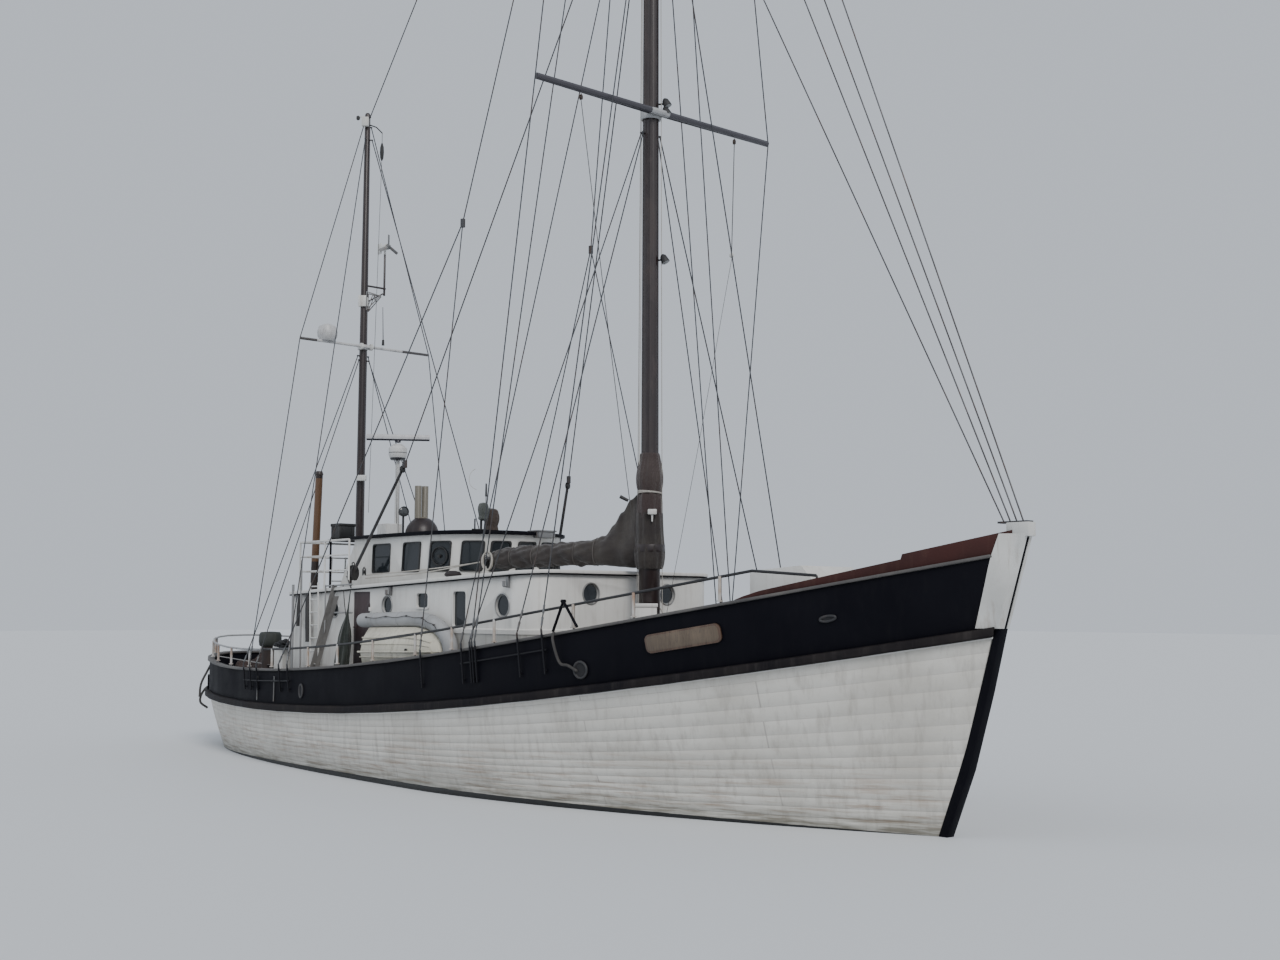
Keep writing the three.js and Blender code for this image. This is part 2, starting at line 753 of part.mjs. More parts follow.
// Screens that slope down to the boat deck behind its sides
function wingScreen(side) {
  const outline = [
    [wheelAft + 10, houseRoofAt(wheelAft) - 40],
    [wheelAft - 620, houseRoofAt(wheelAft) - 40],
    [wheelAft + 10, 4330],
  ];
  const geometry = new THREE.ExtrudeGeometry(
    new THREE.Shape(outline.map(([x, z]) => new THREE.Vector2(x, z))),
    { depth: 40, bevelEnabled: false },
  );
  geometry.rotateX(Math.PI / 2);
  geometry.translate(0, side * (wheelHalf - 20) + 20, 0);
  return toSolid(geometry);
}
const wheelHinges = hinges(
  [wheelAft - pinOut, aftDoorY + aftDoorWide / 2],
  [0, 1],
  [-1, 0],
  [3600, 4080],
);
const wheelParts = join([wheelWalls, wingScreen(-1), wingScreen(1), ...wheelHinges.frame]);
place("wheelhouse_walls", cut(wheelParts, [roofFill]), whitePaint);
const wheelRoof = (inset, z0, z1) => {
  const slabPart = prism(wheelPlan(inset), z0, z1);
  const geometry = toGeometry(slabPart);
  const at = geometry.attributes.position;
  for (let i = 0; i < at.count; i += 1) {
    const share = clamp((at.getX(i) - wheelAft) / (wheelFront - wheelAft), 0, 1);
    at.setX(i, at.getX(i) + share * 130);
  }
  return toSolid(geometry);
};
// A thin canopy over the door, on two posts
const canopyAft = -4720;
const canopyOut = -1420;
const canopyIn = -330;
const canopyPosts = [canopyOut + 50, canopyIn - 50].map((y) =>
  bar(vec(canopyAft + 45, y, houseRoofAt(canopyAft + 45) - 60), vec(canopyAft + 45, y, wheelTop + 20), 22, 8),
);
const roofParts = [
  wheelRoof(-90, wheelTop + gap, wheelTop + 55),
  wheelRoof(120, wheelTop + 50, wheelTop + 85),
  box(canopyAft, wheelAft + 60, canopyOut, canopyIn, wheelTop + gap, wheelTop + 40),
];
place("wheelhouse_roof", cut(join([...roofParts, ...canopyPosts]), [roofFill]), blackPaint);
const wheelDoorX = wheelAft + wheelWall / 2;
const doorHalf = aftDoorWide / 2 - 6;
const wheelDoor = box(
  wheelDoorX - 22,
  wheelDoorX + 22,
  aftDoorY - doorHalf,
  aftDoorY + doorHalf,
  wheelDoorLow + 8,
  4272,
);
place("wheelhouse_door", join([wheelDoor, ...wheelHinges.leaf]), brownPaint);

// Floor and helm inside the wheelhouse
const floorZ = 2560;
const floor = box(wheelAft - 300, houseFront - 2600, -1600, 1600, floorZ - 50, floorZ);
const beamEnd = houseHalf - houseWall;
const beams = [-3500, -1900, 200].map((x) => box(x, x + 80, -beamEnd, beamEnd, floorZ - 130, floorZ - 40));
const houseInside = prism(housePlan(houseWall + gap), 900, 4300);
place("wheelhouse_floor", join([floor, ...beams]).intersect(houseInside), deckWood);
const consoleFace = -900;
const consoleTop = 3600;
const helmConsole = join([
  box(consoleFace, consoleFace + 380, -700, 700, floorZ + gap, consoleTop - 40),
  box(consoleFace - 80, consoleFace + 420, -760, 760, consoleTop - 60, consoleTop),
]);
place("helm_console", helmConsole, brownPaint);
const helmX = -1150;
const helmZ = 3260;
const helmRim = ring(300, 22, vec(helmX, 0, helmZ), vec(1, 0, 0), 16, 5);
const spokes = [0, 1, 2, 3].map((i) => {
  const turn = (i * Math.PI) / 4;
  const reach = vec(0, 370 * Math.cos(turn), 370 * Math.sin(turn));
  return bar(vec(helmX, -reach.y, helmZ - reach.z), vec(helmX, reach.y, helmZ + reach.z), 14, 6);
});
const helmHub = bar(vec(helmX - 40, 0, helmZ), vec(consoleFace - gap, 0, helmZ), 55, 12);
place("ship_wheel", join([helmRim, ...spokes, helmHub]), varnish);

// Boat deck fittings
const roofAt = (x) => houseRoofAt(x) + gap;
const deckRailPosts = [
  [-2880, -1990],
  [-3800, -1990],
  [-4780, -1990],
  [-4780, -660],
  [-4780, 660],
  [-4780, 1990],
  [-3800, 1990],
  [-2880, 1990],
];
function pipeRun(points, radius, sides = 6) {
  return join(points.slice(1).map((to, i) => bar(points[i], to, radius, sides)));
}
const boatDeckRail = join([
  ...deckRailPosts.map(([x, y]) => bar(vec(x, y, roofAt(x)), vec(x, y, 4360), 19, 8)),
  ...[3780, 4070, 4360].map((z) =>
    pipeRun(
      deckRailPosts.map(([x, y]) => vec(x, y, z)),
      z === 4360 ? 21 : 14,
    ),
  ),
]);
place("boat_deck_rail", cut(boatDeckRail, [roofFill]), greyPaint);

const funnelX = -4180;
const funnelY = 480;
const funnelRadius = 360;
const funnelRound = [0, 15, 30, 45, 60, 75].map((degrees) => {
  const turn = THREE.MathUtils.degToRad(degrees);
  return [funnelRadius * Math.cos(turn), 4560 + 400 * Math.sin(turn)];
});
const funnelProfile = [[0, roofAt(funnelX)], [funnelRadius, roofAt(funnelX)], ...funnelRound, [0, 4960]];
const funnel = turned(funnelX, funnelY, funnelProfile, 16);
const exhausts = [-110, 60].map((y) =>
  bar(vec(funnelX, funnelY + y, 4700), vec(funnelX, funnelY + y, 5600), 70, 12),
);
place("funnel_casing", cut(join([funnel, ...exhausts]), [roofFill]), brownPaint);

const radarX = -4400;
const radarPole = join([
  bar(vec(radarX, 0, roofAt(radarX) - 40), vec(radarX, 0, 6150), 55, 12, 45),
  box(radarX - 300, radarX + 40, -280, 100, roofAt(radarX) - 200, 4800),
  turned(radarX, 0, [[0, 6130], [150, 6130], [190, 6240], [190, 6380], [90, 6460], [0, 6460]], 14),
]);
place("radar_mast", cut(radarPole, [roofFill]), whitePaint);
const arrayTurn = THREE.MathUtils.degToRad(56);
const arrayBox = new THREE.BoxGeometry(1300, 110, 90);
arrayBox.rotateZ(arrayTurn);
arrayBox.translate(radarX, 0, 6590);
place(
  "radar_scanner",
  toSolid(arrayBox).add(bar(vec(radarX, 0, 6460 + gap), vec(radarX, 0, 6570), 50, 12)),
  whitePaint,
);
place("roof_locker", box(-4600, -4260, -1250, -720, wheelTop + 40 + gap, 4780), blackPaint);

// Masts and spars
const mastFoot = deckHeight(mainX, 0) - 300;
const mainProfile = [
  [0, mastFoot],
  [178, mastFoot],
  [178, 4050],
  [150, 4700],
  [mainRadius, 6000],
  [mainRadius, 12500],
  [120, 18500],
  [78, mainTop - 60],
  [50, mainTop],
  [0, mainTop],
];
// Wires of the main mast: foot along the boat and end on the mast as offsets from its axis
const mainShrouds = [
  { foot: 2190, end: [-20, 175, 17150] },
  { foot: 2420, end: [-30, 190, 11150] },
  { foot: 2560, end: [-20, 125, 24100] },
  { foot: 3590, end: [20, 190, 11150] },
  { foot: 4120, end: [150, 120, 16950] },
];
const forestays = [
  { end: [175, 0, 17600], foot: 10560 },
  { end: [165, 0, 20200], foot: 10660 },
  { end: [155, 0, 21700], foot: 10760 },
  { end: [150, 0, 23200], foot: 10860 },
];
const backstayEnd = [-120, 130, 17000];
const topBackstayEnd = [-95, 105, 24200];
const triaticEnd = [-120, 0, 24400];
const capEnd = [0, 125, 24300];
// A short lug from a mast's axis to just short of a wire's end.
function lug(mast, [dx, dy, z], side = 1) {
  const reach = Math.hypot(dx, dy);
  const share = (reach - wire - gap) / reach;
  return bar(vec(mast, 0, z), vec(mast + dx * share, side * dy * share, z), 17, 6);
}
const mainEnds = [...mainShrouds.map(({ end }) => end), backstayEnd, topBackstayEnd, capEnd];
const mainLugs = [
  ...[-1, 1].flatMap((side) => mainEnds.map((end) => lug(mainX, end, side))),
  ...forestays.map(({ end }) => lug(mainX, end)),
  lug(mainX, triaticEnd),
];
const boomSaddle = bar(vec(mainX, 0, 3940), vec(mainX, 0, 4000 - gap), 215, 16);
const mainMast = join([turned(mainX, 0, mainProfile, 16), boomSaddle, ...mainLugs]);
place("main_mast", cut(mainMast, [deckFill]), sparWood);
const spreaderZ = 11490;
const spreaderHalf = 2630;
const spreaderX = mainX + mainRadius + 82;
const upperSpreaderZ = 17400;
const mastFace = turned(mainX, 0, mainProfile.map(([r, z]) => [r ? r + gap : 0, z]), 16);
function spreader(x, z, half, thick, clampRadius) {
  const arms = [-1, 1].map((side) =>
    bar(vec(x, 0, z), vec(x, side * half, z), thick, 8, thick * 0.7),
  );
  const collarBand = cut(
    bar(vec(mainX, 0, z - 90), vec(mainX, 0, z + 90), clampRadius + 30, 16),
    [mastFace],
  );
  return join([...arms, collarBand]);
}
place("main_spreader", spreader(spreaderX, spreaderZ, spreaderHalf, 80, mainRadius + 4), greyPaint);
place("upper_spreader", spreader(mainX + 126 + 62, upperSpreaderZ, 1900, 60, 132), greyPaint);

const boomTurn = THREE.MathUtils.degToRad(19.7);
const boomZ = 4060;
const boomLong = 3260;
function alongBoom(distance, aside, z) {
  const c = Math.cos(boomTurn);
  const s = Math.sin(boomTurn);
  return vec(mainX - distance * c - aside * s, -distance * s + aside * c, z);
}
const boomDrop = 140;
const jaw = cut(bar(vec(mainX, 0, boomZ - 60), vec(mainX, 0, boomZ + 60), 260, 20), [
  bar(vec(mainX, 0, boomZ - 80), vec(mainX, 0, boomZ + 80), boreRadius(178), roundSides),
]);
function boomBarOf(grow) {
  return bar(alongBoom(225, 0, boomZ), alongBoom(boomLong, 0, boomZ - boomDrop), 62 + grow, 10, 50 + grow);
}
const boomEye = ring(60, 12, alongBoom(boomLong + 40, 0, boomZ - boomDrop), vec(0, 0, 1), 12, 6);
place("boom", join([jaw, boomBarOf(0), boomEye]), sparWood);

// The stowed sail: a bundle round the boom that sweeps up towards the mast
const bundleSections = [
  { at: 290, wide: 150, low: -130, high: 1050 },
  { at: 520, wide: 165, low: -150, high: 820 },
  { at: 800, wide: 170, low: -160, high: 430 },
  { at: 1250, wide: 175, low: -165, high: 270 },
  { at: 2200, wide: 180, low: -170, high: 220 },
  { at: 3000, wide: 185, low: -180, high: 190 },
  { at: 3180, wide: 150, low: -150, high: 150 },
];
function bundle() {
  const rings = bundleSections.map(({ at, wide, low, high }) => {
    const z = boomZ - (boomDrop * at) / boomLong;
    return Array.from({ length: 10 }, (_, i) => {
      const turn = (i / 10) * 2 * Math.PI;
      const up = Math.sin(turn) > 0 ? high : -low;
      return alongBoom(at, wide * Math.cos(turn), z + up * Math.sin(turn));
    });
  });
  return cut(loft(rings), [boomBarOf(gap)]);
}
place("stowed_sail", bundle(), canvas);
const luffProfile = [
  [182, 4140],
  [215, 4140],
  [225, 4900],
  [205, 5200],
  [175, 5600],
  [162, 5660],
  [155, 5660],
];
const luff = cut(turned(mainX, 0, [[0, 4140], ...luffProfile.slice(1, -1), [0, 5660]], 14), [mastFace]);
place("luff_cover", luff, canvas);

const mizzenFoot = deckHeight(mizzenX, 0) - 300;
const mizzenProfile = [
  [0, mizzenFoot],
  [100, mizzenFoot],
  [mizzenRadius, 8600],
  [60, mizzenTop - 40],
  [40, mizzenTop],
  [0, mizzenTop],
];
const mizzenShrouds = [
  { foot: -6180, end: [0, 125, 8500] },
  { foot: -5450, end: [40, 120, 8400] },
  { foot: -3900, end: [60, 85, 13300] },
];
const mizzenCapEnd = [0, 95, 13600];
const mizzenTriaticEnd = [100, 0, 13780];
const mizzenEnds = [...mizzenShrouds.map(({ end }) => end), mizzenCapEnd];
const mizzenLugs = [
  ...[-1, 1].flatMap((side) => mizzenEnds.map((end) => lug(mizzenX, end, side))),
  lug(mizzenX, mizzenTriaticEnd),
];
const windY = 500;
const windZ = 10980;
const windBracket = [
  bar(vec(mizzenX, 0, 10060), vec(mizzenX, windY + 30, 10060), 22, 8),
  bar(vec(mizzenX, windY, 9900), vec(mizzenX, windY, 10820), 24, 8),
  bar(vec(mizzenX, 0, 9660), vec(mizzenX, windY, 9960), 16, 8),
];
const mizzenMast = join([turned(mizzenX, 0, mizzenProfile, 14), ...mizzenLugs, ...windBracket]);
place("mizzen_mast", cut(mizzenMast, [deckFill]), sparWood);
const mizzenSpreaderZ = 8690;
const mizzenSpreaderHalf = 1570;
const mizzenSpreaderX = mizzenX + 130;
const mizzenFace = turned(mizzenX, 0, mizzenProfile.map(([r, z]) => [r ? r + gap : 0, z]), 14);
const mizzenBand = cut(bar(vec(mizzenX, 0, 8640), vec(mizzenX, 0, 8740), 118, 14), [mizzenFace]);
const radome = turned(
  mizzenSpreaderX,
  -950,
  [[0, 8710], [150, 8710], [205, 8790], [215, 8900], [180, 9010], [80, 9060], [0, 9065]],
  14,
);
place(
  "mizzen_spreader",
  join([
    bar(vec(mizzenSpreaderX, -mizzenSpreaderHalf, mizzenSpreaderZ), vec(mizzenSpreaderX, mizzenSpreaderHalf, mizzenSpreaderZ), 30, 8),
    mizzenBand,
    radome,
  ]),
  greyPaint,
);

// Wind generator on the mizzen's bracket
place(
  "wind_generator_body",
  join([
    bar(vec(mizzenX - 160, windY, windZ), vec(mizzenX + 110, windY, windZ), 60, 12, 70),
    bar(vec(mizzenX, windY, 10820 + gap), vec(mizzenX, windY, windZ), 26, 10),
    box(mizzenX - 300, mizzenX - 140, windY - 6, windY + 6, windZ - 110, windZ + 130),
  ]),
  whitePaint,
);
const rotorX = mizzenX + 150;
const rotorBlades = [0, 1, 2].map((i) => {
  const geometry = new THREE.BoxGeometry(10, 62, 230);
  geometry.rotateZ(0.5);
  geometry.translate(0, 0, 145);
  geometry.rotateX((i * 2 * Math.PI) / 3);
  geometry.translate(rotorX, windY, windZ);
  return toSolid(geometry);
});
place(
  "wind_generator_rotor",
  join([bar(vec(mizzenX + 110 + gap, windY, windZ), vec(rotorX + 60, windY, windZ), 55, 12, 20), ...rotorBlades]),
  greyPaint,
);

// Standing rigging
// A chain plate's foot and head stand off the bulwark's outer face, clear of the cap rail.
function bulwarkFaceAt(x, z) {
  const foot = deckSideAt(x) - deckThick;
  const share = clamp((z - foot) / (bulwarkTopAt(x) - foot), 0, 1);
  return lerp(halfBreadth(x, railLine), halfBreadth(x, topLine), share);
}
function chainplate(x, side) {
  const low = deckSideAt(x) + 250;
  const high = bulwarkTopAt(x) + 130;
  return {
    foot: vec(x, side * (bulwarkFaceAt(x, low) + 23), low),
    head: vec(x, side * (bulwarkFaceAt(x, high) + 80), high),
  };
}
function plateStrip(places, side) {
  const points = places.map((x) => {
    const z = bulwarkTopAt(x) - 190;
    return vec(x, side * (bulwarkFaceAt(x, z) + 38), z);
  });
  return tube(points, 15);
}
function plateParts(foot, head, side) {
  const outer = foot.clone().add(vec(0, 0, 60));
  const inner = outer.clone().add(vec(0, -side * 40, 0));
  return [bar(foot, head, 18, 6), cut(bar(outer, inner, 12, 6), [bulwarkFace])];
}
function sideWire(x, side, end) {
  const { foot, head } = chainplate(x, side);
  return [...plateParts(foot, head, side), bar(head, end, wire, 6)];
}
const mastEnd = (mast, [dx, dy, z], side = 1) => vec(mast + dx, side * dy, z);
// The eye at a wire's upper end, which meets the mast's lug.
function eye(mast, [dx, dy, z], side = 1) {
  const reach = Math.hypot(dx, dy);
  const [near, far] = [(reach - wire) / reach, (reach + 20) / reach];
  return bar(vec(mast + dx * far, side * dy * far, z), vec(mast + dx * near, side * dy * near, z), 17, 8);
}

function mainSide(side) {
  const parts = mainShrouds.flatMap(({ foot, end }) => [
    ...sideWire(foot, side, mastEnd(mainX, end, side)),
    eye(mainX, end, side),
  ]);
  parts.push(eye(mainX, capEnd, side));
  const tip = vec(spreaderX, side * (spreaderHalf + 26), spreaderZ);
  const upperTip = vec(mainX + 188, side * 1932, upperSpreaderZ);
  parts.push(...sideWire(2480, side, tip));
  parts.push(bar(tip, upperTip, wire, 6), bar(upperTip, mastEnd(mainX, capEnd, side), wire, 6));
  const strip = plateStrip([2130, 2480, 3000, 3590, 4180], side);
  return join([...parts, strip]);
}
place("main_shrouds_starboard", mainSide(-1), steel);
place("main_shrouds_port", mainSide(1), steel);

const stemPlate = box(10500, 10960, -70, 70, stemHead + gap, stemHead + 26);
const forestayWires = forestays.map(({ end, foot }) => bar(vec(foot, 0, stemHead + 10), mastEnd(mainX, end), wire, 6));
const forestayEyes = forestays.map(({ end }) => eye(mainX, end));
place("forestays", join([stemPlate, ...forestayWires, ...forestayEyes]), steel);

// Running backstay with its tackle down to the boat deck, and the topmast backstay with two legs
function backstay(side) {
  const footX = side < 0 ? -3220 : -1360;
  const foot = vec(footX, side * 1760, houseRoofAt(footX) + 160);
  const block = side < 0 ? vec(-1360, -1740, 5710) : vec(-880, 1740, 5600);
  return join([
    eye(mainX, backstayEnd, side),
    bar(mastEnd(mainX, backstayEnd, side), block, wire, 6),
    bar(vec(block.x, block.y, block.z - 70), vec(block.x, block.y, block.z + 70), 42, 8),
    bar(block, foot, 26, 8),
    bar(vec(foot.x, foot.y, houseRoofAt(foot.x + 35) + gap), vec(foot.x, foot.y, foot.z + 34), 35, 10),
  ]);
}
function topBackstay(side) {
  const block = vec(60, side * 1500, 10030);
  const aft = chainplate(-4300, side);
  const fore = chainplate(1000, side);
  return join([
    eye(mainX, topBackstayEnd, side),
    bar(mastEnd(mainX, topBackstayEnd, side), block, wire, 6),
    bar(vec(block.x, block.y, block.z - 90), vec(block.x, block.y, block.z + 60), 45, 8),
    bar(block, aft.head, wire, 6),
    bar(block, fore.head, wire, 6),
    ...plateParts(aft.foot, aft.head, side),
    ...plateParts(fore.foot, fore.head, side),
  ]);
}
for (const [side, name] of [
  [-1, "starboard"],
  [1, "port"],
]) {
  place("running_backstay_" + name, backstay(side), steel);
}
place(
  "triatic_stay",
  join([
    bar(mastEnd(mizzenX, mizzenTriaticEnd), mastEnd(mainX, triaticEnd), wire, 6),
    eye(mizzenX, mizzenTriaticEnd),
    eye(mainX, triaticEnd),
  ]),
  steel,
);

function afterSide(side) {
  const parts = mizzenShrouds.flatMap(({ foot, end }) => [
    ...sideWire(foot, side, mastEnd(mizzenX, end, side)),
    eye(mizzenX, end, side),
  ]);
  parts.push(eye(mizzenX, mizzenCapEnd, side));
  const tip = vec(mizzenSpreaderX, side * (mizzenSpreaderHalf + 22), mizzenSpreaderZ);
  parts.push(...sideWire(-5820, side, tip));
  parts.push(bar(tip, mastEnd(mizzenX, mizzenCapEnd, side), wire, 6));
  const strip = plateStrip([-6240, -5820, -5400, -4800, -4300, -3850], side);
  return join([...parts, topBackstay(side), strip]);
}
place("after_rigging_starboard", afterSide(-1), steel);
place("after_rigging_port", afterSide(1), steel);

// Guard rail on the cap rail, one half a side, meeting at the stern
const stanchions = [-10450, -9650, -8700, -7500, -6250, -5000, -3300, -2100, -800, 600, 1700, 2850, 4600, 5710, 7080];
const railEnd = 8410;
function railTopAt(x) {
  const droop = clamp((x - 7570) / (railEnd - 7570), 0, 1);
  return bulwarkTopAt(x) + capThick + lerp(railHeight, 150, droop ** 1.3);
}
function guardRail(side) {
  const inset = 80;
  const path = edgePath(topLine, inset).filter(([x]) => x < railEnd);
  const points = path.map(([x, y]) => vec(x, side * y, railTopAt(x)));
  points[0].y = side * 0.6;
  points.splice(1, 0, vec(points[0].x, side * 70, points[0].z));
  points.push(vec(railEnd, side * (halfBreadth(railEnd, topLine) - inset), railTopAt(railEnd)));
  const posts = stanchions.map((x) => {
    const y = side * railSideAt(points, x);
    return bar(vec(x, y, capTopAt(x) - gap), vec(x, y, railTopAt(x)), 17, 6);
  });
  const endPost = points[points.length - 1];
  const foot = vec(endPost.x + 20, endPost.y, capTopAt(railEnd) + washHeightAt(railEnd) - 20);
  return join([tube(points, pipe), ...posts, bar(foot, endPost, 17, 6)]);
}
// Half-breadth of the rail's run at some place along the boat.
function railSideAt(points, x) {
  const i = Math.max(1, points.findIndex((p) => p.x > x));
  const share = (x - points[i - 1].x) / (points[i].x - points[i - 1].x);
  return Math.abs(lerp(points[i - 1].y, points[i].y, share));
}
const capAndStrake = [
  band([
    corner(topLine, -60, (x) => bulwarkTopAt(x) - 200),
    corner(topLine, -60, (x) => bulwarkTopAt(x) + capThick + gap),
    corner(topLine, bulwarkThick + 60, (x) => bulwarkTopAt(x) + capThick + gap),
    corner(topLine, bulwarkThick + 60, (x) => bulwarkTopAt(x) - 200),
  ]),
];
const strakeTop = bothSides(
  loft(
    [7350, 7470, 7700, 8250, 8850, 9400].map((x) => {
      const y = halfBreadth(x, topLine);
      const high = capTopAt(x) + Math.max(8, washHeightAt(x)) + gap;
      return [vec(x, y + 40, high - 300), vec(x, y + 40, high), vec(x, y - 90, high), vec(x, y - 90, high - 300)];
    }),
  ),
);
for (const [side, name] of [
  [-1, "guard_rail_starboard"],
  [1, "guard_rail_port"],
]) {
  place(name, largest(cut(guardRail(side), [...capAndStrake, strakeTop])), greyPaint);
}

// Foredeck: companion with its door, cargo hatch with its lid, windlass and bitts
const hoodAft = 6400;
const hoodFore = 7700;
const hoodHalf = 560;
const hoodTop = 3680;
const hoodWall = 40;
const hoodOutline = [
  [hoodAft, 1500],
  [hoodFore, 1500],
  [hoodFore, hoodTop - 260],
  [hoodFore - 260, hoodTop],
  [hoodAft, hoodTop - 60],
];
const hoodHollow = [
  [hoodAft + hoodWall, 1400],
  [hoodFore - hoodWall, 1400],
  [hoodFore - hoodWall, hoodTop - 275],
  [hoodFore - 275, hoodTop - hoodWall],
  [hoodAft + hoodWall, hoodTop - 60 - hoodWall],
];
const hoodDoorHalf = 290;
const hoodDoorLow = deckHeight(hoodAft, 0) + 180;
const hoodDoorHole = box(hoodAft - 50, hoodAft + 60, -hoodDoorHalf, hoodDoorHalf, hoodDoorLow, hoodTop - 150);
const hoodHinges = hinges([hoodAft - pinOut, hoodDoorHalf], [0, 1], [-1, 0], [2560, 3260]);
const hood = cut(profilePlate(hoodOutline, hoodHalf), [
  profilePlate(hoodHollow, hoodHalf - hoodWall),
  hoodDoorHole,
  deckFill,
]);
place("fore_companion", join([hood, ...hoodHinges.frame]), whitePaint);
const companionDoor = join([
  box(hoodAft + 4, hoodAft + 34, -hoodDoorHalf + 7, hoodDoorHalf - 7, hoodDoorLow + 7, hoodTop - 157),
  bar(vec(hoodAft - 45, -210, 3000), vec(hoodAft + 10, -210, 3000), 11, 8),
  bar(vec(hoodAft - 40, -210, 3000), vec(hoodAft - 40, -120, 3000), 10, 8),
  ...hoodHinges.leaf,
]);
place("companion_door", companionDoor, brownPaint);

const hatchAft = 4300;
const hatchFore = 5650;
const hatchHalf = 620;
const coamingTop = deckHeight(hatchFore, 0) + 260;
const coaming = cut(box(hatchAft, hatchFore, -hatchHalf, hatchHalf, 1200, coamingTop), [
  box(hatchAft + 45, hatchFore - 45, 45 - hatchHalf, hatchHalf - 45, 1100, coamingTop + 10),
  deckFill,
]);
place("hatch_coaming", coaming, brownPaint);
const lidBoards = [-1, 0, 1].map((i) =>
  box(hatchAft - 15, hatchFore + 15, i * 410 - 195, i * 410 + 195, coamingTop + gap, coamingTop + 50),
);
const lidBattens = [hatchAft + 150, hatchFore - 230].map((x) =>
  box(x, x + 80, -605, 605, coamingTop + 45, coamingTop + 75),
);
place("hatch_lid", join([...lidBoards, ...lidBattens]), brownPaint);

const windlassX = 8600;
const windlassZ = Math.round(deckHeight(windlassX, 0)) + 420;
const windlassCheeks = [-1, 1].map((side) => {
  const cheek = profilePlate(
    [
      [windlassX - 170, 2000],
      [windlassX + 170, 2000],
      [windlassX + 90, windlassZ + 90],
      [windlassX - 90, windlassZ + 90],
    ],
    35,
  );
  return cheek.translate([0, side * 240, 0]);
});
const windlassBed = box(windlassX - 260, windlassX + 260, -300, 300, 2000, deckHeight(windlassX, 0) + 70);
const windlassBore = bar(
  vec(windlassX, -400, windlassZ),
  vec(windlassX, 400, windlassZ),
  boreRadius(28),
  roundSides,
);
place("windlass_frame", cut(join([windlassBed, ...windlassCheeks]), [windlassBore, deckFill]), blackPaint);
function drumHead(side) {
  return [
    bar(vec(windlassX, side * 290, windlassZ), vec(windlassX, side * 330, windlassZ), 120, 14),
    bar(vec(windlassX, side * 330, windlassZ), vec(windlassX, side * 420, windlassZ), 80, 14),
    bar(vec(windlassX, side * 420, windlassZ), vec(windlassX, side * 450, windlassZ), 115, 14),
  ];
}
place(
  "windlass_barrel",
  join([
    bar(vec(windlassX, -445, windlassZ), vec(windlassX, 445, windlassZ), 28, roundSides),
    bar(vec(windlassX, -195, windlassZ), vec(windlassX, 195, windlassZ), 110, 16),
    ...drumHead(-1),
    ...drumHead(1),
  ]),
  steel,
);
function bitts(x, y, half, high) {
  const z = deckHeight(x, y);
  return cut(
    join([
      box(x - 70, x + 70, y - half - 60, y - half + 60, z - 300, z + high),
      box(x - 70, x + 70, y + half - 60, y + half + 60, z - 300, z + high),
      box(x - 45, x + 45, y - half - 150, y + half + 150, z + high * 0.6, z + high * 0.6 + 90),
    ]),
    [deckFill],
  );
}
place("fore_bitts", bitts(9350, 0, 200, 520), brownPaint);
place("aft_bitts_starboard", bitts(-8700, -1150, 130, 420), brownPaint);
place("aft_bitts_port", bitts(-8700, 1150, 130, 420), brownPaint);

// After deck: drum, locker, post and ladder
function onDeck(solid) {
  return cut(solid, [deckFill]);
}
place("after_drum", onDeck(turned(-6950, -1450, [[0, 900], [290, 900], [290, 2480], [250, 2560], [0, 2560]], 18)), hullPaint);
place("after_locker", onDeck(box(-6400, -5450, -1720, -1220, 900, 2260)), whitePaint);
const postLean = 0.052;
const postX = -5220;
const postFoot = vec(postX, -1500, 1000);
const postHead = vec(postX + (5770 - 1000) * postLean, -1500, 5770);
place(
  "boat_post",
  onDeck(join([bar(postFoot, postHead, 80, 12, 74), bar(postHead, postHead.clone().add(vec(4, 0, 70)), 86, 12, 60)])),
  varnish,
);
function ladder() {
  const leanAt = (z) => -5190 + ((z - 1000) / 3100) * 180;
  const rails = [-1150, -830].map((y) => bar(vec(leanAt(1000), y, 1000), vec(leanAt(4100), y, 4100), 20, 8));
  const rungs = [1, 2, 3, 4, 5, 6, 7].map((i) => {
    const z = 1300 + i * 330;
    return bar(vec(leanAt(z), -1150, z), vec(leanAt(z), -830, z), 13, 6);
  });
  return join([...rails, ...rungs]);
}
place("boat_deck_ladder", onDeck(ladder()), hullPaint);

// Tender stowed on edge along the starboard side deck, its bottom outboard and its bow forward
const tenderAft = -1950;
const tenderFore = 930;
const tenderLow = 1690;
const tenderHigh = 2830;
const tenderMid = (tenderLow + tenderHigh) / 2;
const tenderBeam = (tenderHigh - tenderLow) / 2; // half of it
const tenderBow = 1200; // length of its rounded bow
const tenderRound = 2.2;
const tenderIn = -2150;
const tenderOut = -2560;
const tenderEdge = 110; // from the collar's middle line in to the hull's edge
const transomInner = tenderAft + 350; // the transom slopes forward from its inner edge to its outer one
const transomOuter = tenderAft + 500;
function tenderHalfAt(x) {
  const t = clamp((x - (tenderFore - tenderBow)) / (tenderBow - tenderEdge), 0, 1);
  return (tenderBeam - tenderEdge) * Math.sqrt(Math.max(0, 1 - t ** tenderRound));
}
const tenderPlaces = [0, 350, 900, 1500, 1900, 2250, 2500, 2650, 2740, 2770].map((run) => tenderAft + run);
const tenderRise = 0.02;
